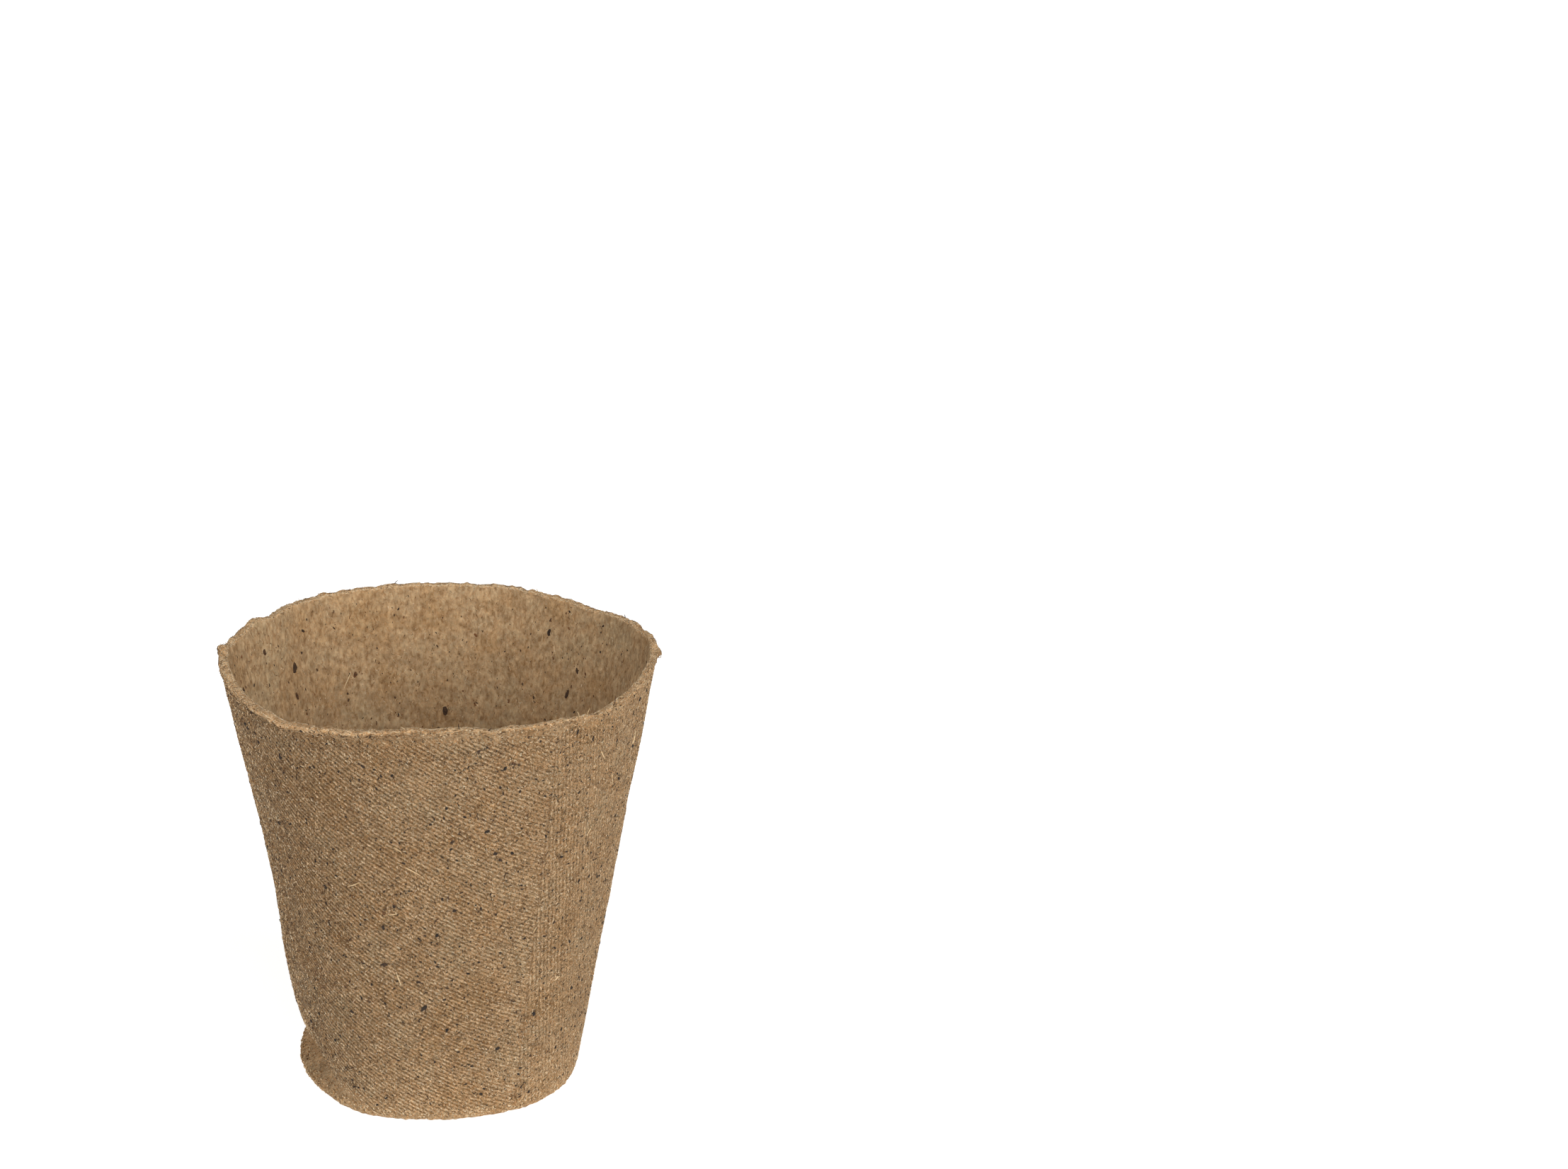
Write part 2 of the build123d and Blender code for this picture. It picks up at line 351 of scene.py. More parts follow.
# The pulp's colours, with the sizes of their patterns in mm. Each range has a value's low and high and what
# they become. hues are tints that the colour is multiplied by.
pulp = {
    "tones": [(0.34, "#957d5e"), (0.5, "#9a7e5d"), (0.66, "#9a7b57")],
    "cloudSize": 9.0,
    "cloudRange": (0.30, 0.70, 1.10, 0.90),
    "mottleSize": 1.6,
    "mottleRange": (0.32, 0.68, 0.80, 1.20),
    # painted bounce light: the pulp made paler towards the foot, as if lit from the floor
    "paintedBounceFootRange": (0.0, 16.0 * metresPerMm, 1.25, 1.0),
    "rustColour": "#93653a",
    "rustSize": 0.5,
    "rustRange": (0.60, 0.74, 0.0, 0.32),
    "dustColour": "#3d2e20",
    "dustSize": 0.34,
    "dustRange": (0.63, 0.72, 0.0, 0.8),
    "hueSize": 0.24,
    "hues": [(0.34, (1.10, 0.97, 0.84)), (0.66, (0.91, 1.03, 1.16))],
}


def pulpMottle(tree, spot):
    # clouds of lighter, warmer and greyer pulp, times painted bounce light at the foot, small mottles and the
    # clouds' own shade
    clouds = addNode(tree, "TexNoise", None, {"Vector": spot, "Scale": cellsOf(pulp["cloudSize"]),
                                              "Detail": 3.0, "Roughness": 0.6})
    mottles = addNode(tree, "TexNoise", None, {"Vector": spot, "Scale": cellsOf(pulp["mottleSize"]),
                                               "Detail": 2.0, "Roughness": 0.6})
    height = addNode(tree, "SeparateXYZ", None, [spot]).outputs["Z"]
    shade = addNode(tree, "MapRange", None, [height, *pulp["paintedBounceFootRange"]])
    for noise, spread in ((mottles, "mottleRange"), (clouds, "cloudRange")):
        shade = addNode(tree, "Math", times, [shade, addNode(tree, "MapRange", None, [noise, *pulp[spread]])])
    tone = addNode(tree, "ValToRGB", None, [clouds], pulp["tones"])
    return addNode(tree, "Mix", multiply, {0: 1.0, 6: tone, 7: shade})


def pulpFlecks(tree, spot, colour, share=1.0):
    # rust-coloured flecks of cambium, then dark peat dust: the peaks of a noise for each, over the colour
    for kind in ("rust", "dust"):
        noise = addNode(tree, "TexNoise", None, {"Vector": spot, "Scale": cellsOf(pulp[kind + "Size"]),
                                                 "Detail": 1.0})
        peaks = addNode(tree, "MapRange", None, [noise, *pulp[kind + "Range"]])
        amount = addNode(tree, "Math", times, [peaks, share])
        colour = addNode(tree, "Mix", blend, {0: amount, 6: colour, 7: linear(pulp[kind + "Colour"])})
    return colour


def hueGrain(tree, spot, colour, share):
    # fine grains that are warmer or greyer than the rest, equally light: the colour times a tint from noise
    noise = addNode(tree, "TexNoise", None, {"Vector": spot, "Scale": cellsOf(pulp["hueSize"]),
                                             "Detail": 1.0})
    tint = addNode(tree, "ValToRGB", None, [noise], pulp["hues"])
    return addNode(tree, "Mix", multiply, {0: share, 6: colour, 7: tint})


def stretchedNoise(tree, spot, sizes, turn, distortion, flat):
    # noise whose cells have these sizes in mm, turned by an angle in the plane of the first two
    turned = addNode(tree, "Mapping", None, {"Vector": spot, "Rotation": (0, 0, math.radians(turn))})
    scaled = addNode(tree, "Mapping", None, {"Vector": turned, "Scale": [cellsOf(size) for size in sizes]})
    return addNode(tree, "TexNoise", {"noise_dimensions": "2D" if flat else "3D"},
                   {"Vector": scaled, "Scale": 1.0, "Detail": 2.0, "Roughness": 0.6,
                    "Distortion": distortion})


# Pattern sizes are in mm. Strokes and tints are what the pulp's colour is multiplied by.
felt = {
    "squiggleSizes": (0.52, 0.21, 1.0),
    "squiggleTurn": 18,
    "tuftSizes": (0.5, 0.5, 0.5),
    "tuftRange": (0.25, 0.75, 0.36, 0.68),
    "weaveContrast": 0.105,
    "beadShare": 0.25,
    # the outside strokes' dark end is painted shade in the weave's grooves and between the threads
    "outsideStrokesAndShade": [(0.30, (0.34, 0.29, 0.24)), (0.42, (0.62, 0.56, 0.50)), (0.52, (0.94, 0.92, 0.90)),
                       (0.62, (1.20, 1.26, 1.34)), (0.72, (1.46, 1.60, 1.80))],
    "combedSizes": (0.72, 0.72, 1.2),
    "insideStrokes": [(0.30, (0.65, 0.58, 0.50)), (0.44, (0.91, 0.88, 0.84)), (0.56, (1.04, 1.06, 1.07)),
                      (0.70, (1.22, 1.29, 1.35))],
    # painted light with some paler wiped pulp: the inside made paler and less orange than the outside
    "insidePaintedLightTint": (1.43, 1.45, 1.48, 1),
    # painted shade: the inside darker the lower it is, between 80 mm and 48 mm up
    "paintedDepthShade": (48 * metresPerMm, 80 * metresPerMm, 0.86, 1.05),
    "insideFleckShare": 0.35,
    # the rim: its paler torn pulp and a painted highlight on its upward faces
    "rimPaleAndPaintedHighlight": (1.54, 1.52, 1.5, 1),
    # how dark the painted shade makes the pulp where it is full
    "paintedShadeShare": 0.77,
    "seamColour": "#6b4c30",
    "seamRange": (0.45, 1.0, 0.0, 0.6),
    "bumpDepth": 0.16,
}


def makeFelt():
    # Moulded pulp of peat and wood fibre: dull, open and fibrous. Outside it keeps the weave of the forming
    # screen, inside it is wiped smoother and its fibres are combed upright.
    material, tree, shader = newMaterial("mouldedPeatPulp", 0.95, 0.18)
    spot = addNode(tree, "TexCoord")
    sheet = addNode(tree, "UVMap", {"uv_map": "sheet"})
    inner, imprint, seam, turned, atRim, paintedShade = (
        addNode(tree, "Attribute", {"attribute_name": name})
        for name in ("inner", "imprint", "seam", "turned", "atRim", "paintedShade"))

    # crooked fibres turned a little off the screen's wires, and plain tufts where the sheet can't follow
    squiggles = stretchedNoise(tree, sheet, felt["squiggleSizes"], felt["squiggleTurn"], 0.9, True)
    tufts = stretchedNoise(tree, spot, felt["tuftSizes"], 0, 0.7, False)
    tufts = addNode(tree, "MapRange", None, [tufts, *felt["tuftRange"]])
    squiggles = addNode(tree, "Mix", blend, {0: turned, 6: squiggles, 7: tufts})
    # the screen's weave: a sine across its wires and a weaker one along them
    place = addNode(tree, "SeparateXYZ", None, [sheet])
    across = addNode(tree, "Math", times, [place.outputs["Y"], 2 * math.pi * cellsOf(screen["pitchAcross"])])
    along = addNode(tree, "Math", times, [place.outputs["X"], 2 * math.pi * cellsOf(screen["pitchAlong"])])
    beads = addNode(tree, "Math", times, [addNode(tree, "Math", sine, [along]), felt["beadShare"]])
    weave = addNode(tree, "Math", add, [addNode(tree, "Math", sine, [across]), beads])
    # painted shade: the weave darkens the colour in its grooves as well as shaping the bumps
    depth = addNode(tree, "Math", times, [imprint, felt["weaveContrast"]])
    outside = addNode(tree, "Math", add, [squiggles, addNode(tree, "Math", times, [weave, depth])])
    outsideStrokesAndShade = addNode(tree, "ValToRGB", None, [outside], felt["outsideStrokesAndShade"])

    # inside, soft upright tufts, made paler by painted light with some paler wiped pulp, and darker low down
    # by painted shade
    combed = stretchedNoise(tree, spot, felt["combedSizes"], 0, 0.5, False)
    insideStrokes = addNode(tree, "ValToRGB", None, [combed], felt["insideStrokes"])
    insideStrokes = addNode(tree, "Mix", multiply, {0: 1.0, 6: insideStrokes, 7: felt["insidePaintedLightTint"]})
    level = addNode(tree, "SeparateXYZ", None, [spot]).outputs["Z"]
    # painted shade, darker deeper in the pot
    deep = addNode(tree, "MapRange", None, [level, *felt["paintedDepthShade"]])
    insideStrokes = addNode(tree, "Mix", multiply, {0: 1.0, 6: insideStrokes, 7: deep})

    # both together over the pulp's own colours, with the rim's paler pulp and painted highlight, painted
    # shade and the seam
    strokes = addNode(tree, "Mix", blend, {0: inner, 6: outsideStrokesAndShade, 7: insideStrokes})
    # the rim and the left lip made paler: their own torn pulp and a painted highlight
    strokes = addNode(tree, "Mix", multiply, {0: atRim, 6: strokes, 7: felt["rimPaleAndPaintedHighlight"]})
    # painted shade: darker up the pot's left, on the flange and inside at the right
    paintedShadeFactor = addNode(tree, "MapRange", None, [paintedShade, 0.0, 1.0, 1.0, felt["paintedShadeShare"]])
    strokes = addNode(tree, "Mix", multiply, {0: 1.0, 6: strokes, 7: paintedShadeFactor})
    colour = addNode(tree, "Mix", multiply, {0: 1.0, 6: pulpMottle(tree, spot), 7: strokes})
    fleckShare = addNode(tree, "MapRange", None, [inner, 0.0, 1.0, 1.0, felt["insideFleckShare"]])
    colour = pulpFlecks(tree, spot, colour, fleckShare)
    atSeam = addNode(tree, "MapRange", None, [seam, *felt["seamRange"]])
    colour = addNode(tree, "Mix", blend, {0: atSeam, 6: colour, 7: linear(felt["seamColour"])})
    colour = hueGrain(tree, spot, colour, fleckShare)

    height = addNode(tree, "Mix", blend, {0: inner, 6: outside, 7: combed})
    bump = addNode(tree, "Bump", None, {"Height": height, "Distance": felt["bumpDepth"] * metresPerMm,
                                        "Strength": 1.0})
    tree.links.new(valueOf(colour), shader.inputs["Base Color"])
    tree.links.new(valueOf(bump), shader.inputs["Normal"])
    return material


# Loose ends of fibre, from dark peat over brown and tan pulp to bleached straw, with each fibre's own shade
# uneven along its length.
fibre = {
    "tones": [(0.0, "#442d1a"), (0.15, "#6e5031"), (0.38, "#906e4a"), (0.6, "#a98960"), (0.82, "#c4a67f"),
              (1.0, "#e2cba8")],
    "grain": 0.3,
    "grainRange": (0.3, 0.7, -0.27, 0.27),
    "pulpShare": 0.12,
}


def ownShade(tree, spot, grain, detail, spread, tones):
    # the piece's shade attribute plus noise in grains of this size, looked up in its tones
    shade = addNode(tree, "Attribute", {"attribute_name": "shade"})
    noise = addNode(tree, "TexNoise", None, {"Vector": spot, "Scale": cellsOf(grain), "Detail": detail})
    uneven = addNode(tree, "Math", add, [shade, addNode(tree, "MapRange", None, [noise, *spread])])
    return addNode(tree, "ValToRGB", None, [uneven], tones)


def makeFibre():
    # single drawn-out pulp fibres: dull, each in its own shade, flecked like the pulp round them
    material, tree, shader = newMaterial("pulpFibre", 0.9, 0.25)
    spot = addNode(tree, "TexCoord")
    own = ownShade(tree, spot, fibre["grain"], 1.0, fibre["grainRange"], fibre["tones"])
    colour = addNode(tree, "Mix", blend, {0: fibre["pulpShare"], 6: own, 7: pulpMottle(tree, spot)})
    colour = hueGrain(tree, spot, pulpFlecks(tree, spot, colour), 1.0)
    tree.links.new(valueOf(colour), shader.inputs["Base Color"])
    return material


# Coarse bits of plant, each kind with its tones, its grain in mm, its roughness and its gloss. Dry bark and
# peat are near black and dull, some of it red-brown. Dry straw is pale yellow and faintly shiny. Fine root is
# dark brown.
bitKinds = {
    "bark": {"name": "darkBark", "grain": 0.35, "roughness": 0.85, "gloss": 0.25,
             "tones": [(0.0, "#28221d"), (0.4, "#382c23"), (0.7, "#523c2a"), (1.0, "#7a5030")]},
    "straw": {"name": "dryStraw", "grain": 0.5, "roughness": 0.7, "gloss": 0.35,
              "tones": [(0.0, "#a98a5c"), (0.5, "#cdb084"), (1.0, "#e6cfa6")]},
    "root_fibre": {"name": "fineRoot", "grain": 0.4, "roughness": 0.75, "gloss": 0.35,
                   "tones": [(0.0, "#2a211b"), (0.5, "#3c2c20"), (1.0, "#5c4029")]},
}
bitGrainRange = (0.3, 0.7, -0.2, 0.2)


def makeBitMaterial(kind):
    # a coarse bit of plant in its own shade, uneven in grains
    material, tree, shader = newMaterial(kind["name"], kind["roughness"], kind["gloss"])
    own = ownShade(tree, addNode(tree, "TexCoord"), kind["grain"], 2.0, bitGrainRange, kind["tones"])
    tree.links.new(valueOf(own), shader.inputs["Base Color"])
    return material


# The forming screen was one flat piece rolled into a cone: its edges meet in the seam, and its wires cross
# square to each other on the flat. wireAngle is the main wires' angle to the sheet's width. It pressed
# deepest at the front and least on the right, and not at all in the last millimetres under the rim.
screen = {
    "seamAngle": -61.0,
    "wireAngle": -56.0,
    "pitchAcross": 0.74,
    "pitchAlong": 0.76,
    "imprint": 0.6,
    "imprintLobes": [(-106, 44, 0.5), (-34, 26, -0.52)],
    "imprintPatches": [(0.22, 8.0, 31)],
    "imprintTop": (81.5, 79.5),
}
coneSine = math.sin(taperTilt)

# Stretches round the pot, as an angle and a width: a broad band of painted shade up the left side, painted
# shade inside at the right, and the part of the lip that is broad, pale and smooth, pale from the rim's pulp
# and painted highlight.
paintedShadeLeft = (-146, 24)
paintedShadeInsideRight = (12, 20)
leftLip = (-130, 13)


def onSheet(angle, height):
    # Flat sheet coordinates of a place on the cone, x along the main wires and y across them, in mm.
    # The cone unrolls round its tip: the slant distance stays, and the angle shrinks by the cone's sine.
    slant = (pot["footRadius"] + taperSlope * height) / coneSine
    spread = np.radians(angle - screen["seamAngle"] - 180) * coneSine
    x, y = slant * np.sin(spread), slant * np.cos(spread)
    turn = math.radians(screen["wireAngle"])
    return x * math.cos(turn) + y * math.sin(turn), y * math.cos(turn) - x * math.sin(turn)


def offSheet(along, across):
    # the other way: the angle and height of a place on the flat sheet
    turn = math.radians(screen["wireAngle"])
    x = along * math.cos(turn) - across * math.sin(turn)
    y = along * math.sin(turn) + across * math.cos(turn)
    angle = np.degrees(np.arctan2(x, y) / coneSine) + screen["seamAngle"] + 180
    return angle, (np.hypot(x, y) * coneSine - pot["footRadius"]) / taperSlope


def imprintStrength(angle, height):
    # how deep the screen pressed, from 0 to 1: its humps round the pot and random patches, fading to the rim
    clear = screen["imprint"] + lobes(angle, screen["imprintLobes"])
    patchy = lumpLayers(onWall(angle, height), screen["imprintPatches"])
    return np.clip((clear + patchy) * easeBetween(height, *screen["imprintTop"]), 0, 1)


# The felt's mesh, and what its material reads at each point. Each pair is where an attribute starts and
# where it is full, in ways of skin, or in mm for the flange that the dent leaves.
shell = {
    "columns": 680,
    "undersideRows": 10,
    "heelRows": 3,
    "footRows": 4,
    "outsideRows": 46,
    "lipRows": 16,
    "rimRows": 16,
    "innerLipRows": 6,
    "insideRows": 30,
    "cornerRows": 5,
    "floorRows": 9,
    "rowGap": 0.004,
    "cornerGap": 0.01,
    "inner": (1.6, 2.0),
    "imprint": (-0.02, 0.0),
    "seam": (0.01, 0.98),
    "atRim": (1.12, 1.20),
    "leftLipWiden": 0.14,
    "rimEnd": (2.02, 1.82),
    "flangeDent": (0.0, 0.8),
    "flangeHeight": (4.2, 3.2),
    "turnedFoot": (0.02, 0.01),
    "turnedTop": (0.975, 0.99),
    # painted shade: its share on the flange, and inside at the right
    "flangePaintedShade": 0.4,
    "insidePaintedShade": 0.6,
}
lipBottom = 0.955   # as a share of the way up the outside
footTop = 0.045
rimArc = 2.5        # mm from the outer shoulder over the rim to the inner one


def rowsBetween(first, last, count):
    # evenly spaced ways after the first one
    return np.linspace(first, last, count + 1)[1:]


def quarterRows(radius, rows):
    # ways up a wall that are evenly spaced round a quarter round at its foot
    return radius / wallTop * (1 - np.cos(np.linspace(0, math.pi / 2, rows + 1)))[:-1]


def makeShell(material):
    # a grid of columns round the pot and rows along the skin, closed by a point at the middle of each end
    heel = quarterRows(pot["heelRadius"], shell["heelRows"])
    corner = quarterRows(pot["innerCornerRadius"], shell["cornerRows"])
    way = np.concatenate([
        rowsBetween(-1, 0, shell["undersideRows"])[:-1],
        heel,
        np.linspace(heel[-1] + shell["rowGap"], footTop, shell["footRows"]),
        rowsBetween(footTop, lipBottom, shell["outsideRows"]),
        rowsBetween(lipBottom, 1, shell["lipRows"]),
        rowsBetween(1, 2, shell["rimRows"]),
        rowsBetween(2, 3 - lipBottom, shell["innerLipRows"]),
        rowsBetween(3 - lipBottom, 3 - corner[-1] - shell["cornerGap"], shell["insideRows"]),
        3 - corner[::-1],
        rowsBetween(3, 4, shell["floorRows"])[:-1],
    ])
    columns, rows = shell["columns"], len(way)
    angle = screen["seamAngle"] + np.linspace(0, 360, columns + 1)
    points, _ = skin(angle[None, :-1], way[:, None])
    ends, _ = skin(np.zeros(2), np.array([-1.0, 4.0]))
    allPoints = np.concatenate([points.reshape(-1, 3), ends])

    number = np.arange(rows * columns).reshape(rows, columns)
    right = np.roll(number, -1, axis=1)
    quads = np.stack([number[:-1], right[:-1], right[1:], number[1:]], axis=-1).reshape(-1, 4)
    underFan = np.stack([right[0], number[0], np.full(columns, rows * columns)], axis=-1)
    floorFan = np.stack([number[-1], right[-1], np.full(columns, rows * columns + 1)], axis=-1)
    corners = np.concatenate([quads.ravel(), underFan.ravel(), floorFan.ravel()])
    counts = np.concatenate([np.full(len(quads), 4), np.full(2 * columns, 3)])
    piece = newPiece("feltShell", allPoints, corners, material, ["moulded_felt_pot"], counts)

    # the sheet's coordinates belong to face corners, so that the seam has its two edges
    columnOf = np.concatenate([np.tile([0, 1, 1, 0], len(quads)), np.tile([1, 0, 0], columns),
                               np.tile([0, 1, 0], columns)])
    firstColumn = np.concatenate([np.repeat(np.tile(np.arange(columns), rows - 1), 4),
                                  np.repeat(np.arange(columns), 3), np.repeat(np.arange(columns), 3)])
    along, across = onSheet(angle[firstColumn + columnOf], allPoints[corners, 2])
    sheet = np.stack([along, across], axis=-1) * metresPerMm
    piece.data.uv_layers.new(name="sheet").data.foreach_set("uv", sheet.astype(np.float32).ravel())

    wayOf = np.concatenate([np.repeat(way, columns), [-1, 4]])
    angleOf = np.concatenate([np.tile(angle[:-1], rows), [0, 0]])
    height = allPoints[:, 2]
    inner = easeBetween(wayOf, *shell["inner"])
    # where the rim's paler pulp and painted highlight go, wider over the left lip
    atRim = (easeBetween(wayOf + shell["leftLipWiden"] * lobe(angleOf, *leftLip), *shell["atRim"])
             * easeBetween(wayOf, *shell["rimEnd"]))
    flange = easeBetween(dent(angleOf, height), *shell["flangeDent"])
    flange = flange * easeBetween(height, *shell["flangeHeight"])
    # turned is 1 where the surface turns over, at the rim, the foot's edge and underneath
    turned = np.maximum(flange, easeBetween(wayOf, *shell["turnedFoot"]))
    turned = np.maximum(turned, easeBetween(wayOf, *shell["turnedTop"]))
    strength = imprintStrength(angleOf, height) * (1 - inner) * easeBetween(wayOf, *shell["imprint"])
    low, high = shell["seam"]
    seam = (angleOf == angle[0]) * (wayOf > low) * (wayOf < high)
    # painted shade: a band up the pot's left, less of it on the flange, and inside at the right
    paintedShadeOutside = lobe(angleOf, *paintedShadeLeft) * (1 - flange) + shell["flangePaintedShade"] * flange
    paintedShade = paintedShadeOutside * (1 - inner) + shell["insidePaintedShade"] * lobe(angleOf, *paintedShadeInsideRight) * inner
    for name, values in (("inner", inner), ("imprint", strength * (1 - turned)), ("seam", seam),
                         ("atRim", atRim), ("turned", turned), ("paintedShade", paintedShade * (1 - atRim))):
        addAttribute(piece.data, name, values)


def outsideWay(angle, height):
    # skin's law of heights the other way round: three rounds settle it, and a sine's inverse over the rim
    rim = rimHeight(angle)
    half = (outerRadius(angle, rim, rim) - innerRadius(angle, rim)) / 2
    shoulder = rim - half
    up = height / wallTop
    for _ in range(3):
        up = height / (wallTop + (shoulder - wallTop) * np.minimum(up, 1) ** 3)
    over = np.clip((height - shoulder) / half, 0, 0.98) ** (1 / edges["rimSquareness"])
    return np.where(height > shoulder, 1 + np.arcsin(over) / math.pi, np.clip(up, 0.002, 1))


def insideWay(height):
    # from 3 at the floor to 2 at the wall's top
    return 3 - (height - pot["floorThickness"]) / (wallTop - pot["floorThickness"])


def localAxes(out):
    # level to the right and up the wall, both as seen from out of the felt
    level = np.cross([0.0, 0.0, 1.0], out)
    level /= np.linalg.norm(level, axis=-1, keepdims=True)
    return level, np.cross(out, level)


def strandPath(angle, height, side, heading, length, bend, kink, steps):
    # Points along each strand on the skin. heading is from the level direction, anticlockwise as seen from
    # out of the felt. bend and kink are the height of an arc and of an S, as shares of the length.
    place = np.linspace(-1, 1, steps)[None, :]
    along = place * length[:, None] / 2
    bow = length[:, None] * (bend[:, None] * (0.6 - place ** 2) + kink[:, None] * np.sin(math.pi * place))
    turn = np.radians(heading)[:, None]
    level = along * np.cos(turn) - bow * np.sin(turn)
    rise = along * np.sin(turn) + bow * np.cos(turn)
    around = np.degrees(level / (pot["footRadius"] + taperSlope * height)[:, None])
    heights = height[:, None] + rise
    if side == "rim":
        # here a height is the distance over the rim from its outer shoulder
        return angle[:, None] + around, np.where(heights > 0, 1 + heights / rimArc, 1 + heights / wallTop)
    if side == "outside":
        return angle[:, None] + around, outsideWay(angle[:, None], heights)
    return angle[:, None] - around, np.clip(insideWay(heights), 2, 2.99)


def strandMesh(centres, out, width, thick, sunk):
    # Each strand is a spindle: a three-cornered section whose flat side lies in the felt, with pointed ends.
    # centres and out are strands by steps by 3; width and thick are strands by steps.
    count, steps, _ = centres.shape
    run = np.gradient(centres, axis=1)
    run /= np.linalg.norm(run, axis=-1, keepdims=True)
    beside = np.cross(out, run)
    beside /= np.linalg.norm(beside, axis=-1, keepdims=True)
    over = np.cross(run, beside)
    base = centres - sunk * over
    rings = np.stack([base + beside * width[..., None] / 2,
                      base - beside * width[..., None] / 2,
                      centres + over * thick[..., None]], axis=2)[:, 1:-1]
    points = np.concatenate([base[:, :1], rings.reshape(count, -1, 3), base[:, -1:]], axis=1)
    last = 3 * (steps - 2) + 1
    faces = [(0, 2, 1), (0, 3, 2), (0, 1, 3)]
    for ring in range(steps - 3):
        a = 1 + 3 * ring
        for i, j in ((0, 1), (1, 2), (2, 0)):
            faces += [(a + i, a + j, a + 3 + j), (a + i, a + 3 + j, a + 3 + i)]
    a = last - 3
    faces += [(a, a + 1, last), (a + 1, a + 2, last), (a + 2, a, last)]
    numbers = np.array(faces)[None] + (np.arange(count) * (last + 1))[:, None, None]
    return points.reshape(-1, 3), numbers.reshape(-1), last + 1


def spindle(width, steps):
    # full in the middle and thin at the ends: the root of one minus the squared place along it
    return width[:, None] * np.sqrt(1 - np.linspace(-1, 1, steps)[None, :] ** 2)


def strandPiece(name, centres, out, width, thick, shade, material, slotName, nodes=(), sunk=0.05):
    # one piece of many strands, each with its width, thickness and shade; sunk is how deep its flat side lies
    steps = centres.shape[1]
    points, corners, each = strandMesh(centres, out, spindle(width, steps), spindle(thick, steps), sunk)
    newPiece(name, points, corners, material, nodes, shade=np.repeat(shade, each))


def drawShades(rng, row, count):
    # a middle shade and its spread, held between 0 and 1
    return np.clip(rng.normal(*row["shade"], count), 0, 1)


# Threads of pulp drawn into the screen's meshes: two for each mesh, so they line up in rows. Some lie along
# the crossing wires instead, more of them to the right of the seam and at the far left. Ease pairs are angles
# or heights where a change starts and where it is full.
meshThreads = {
    "perMesh": 2,
    "pairShift": 0.11,
    "length": (0.45, 1.0),
    "width": (0.13, 0.25),
    "thick": (0.04, 0.15),
    "thickByImprint": (0.6, 0.5),
    "twist": -8,
    "headingSpread": 13,
    "looseHeading": 0.9,
    "bend": 0.14,
    "kink": 0.10,
    "jitter": 0.069,
    "missingShare": 0.12,
    "seamHalfGap": 0.3,
    "lowest": 0.8,
    "belowRim": 0.12,
    "belowLeftLip": 1.3,
    "flangeDent": 0.5,
    "flangeTop": 0.4,
    "crossingShare": 0.14,
    "crossingRight": (0.36, -61, -59),
    "crossingLeft": (0.45, -112, -134),
    "shade": 0.6,
    "shadeLumps": [(0.18, 1.5, 42)],
    "shadeSpread": 0.31,
    "alike": (-61, -41),
    "lessSpreadAlike": 0.55,
    "moreSpreadDark": 0.3,
    # painted bounce light: threads paler by this much at the foot, fading out by 16 mm up
    "paintedBounceFoot": (0.22, 16, 0),
    # painted shade: threads darker by this much in the band up the pot's left
    "threadPaintedShade": 0.14,
    "steps": 4,
    "seed": 41,
    "names": ["rightThreads", "backRightThreads", "backLeftThreads", "leftThreads", "frontLeftThreads",
              "frontRightThreads"],
}


def crossingShare(angle):
    # how many of the threads lie along the crossing wires: a least share, and more to the right and the left
    front = (angle + 180) % 360 - 180
    share = meshThreads["crossingShare"]
    for most, start, end in (meshThreads["crossingRight"], meshThreads["crossingLeft"]):
        share = share + most * easeBetween(front, start, end)
    return share


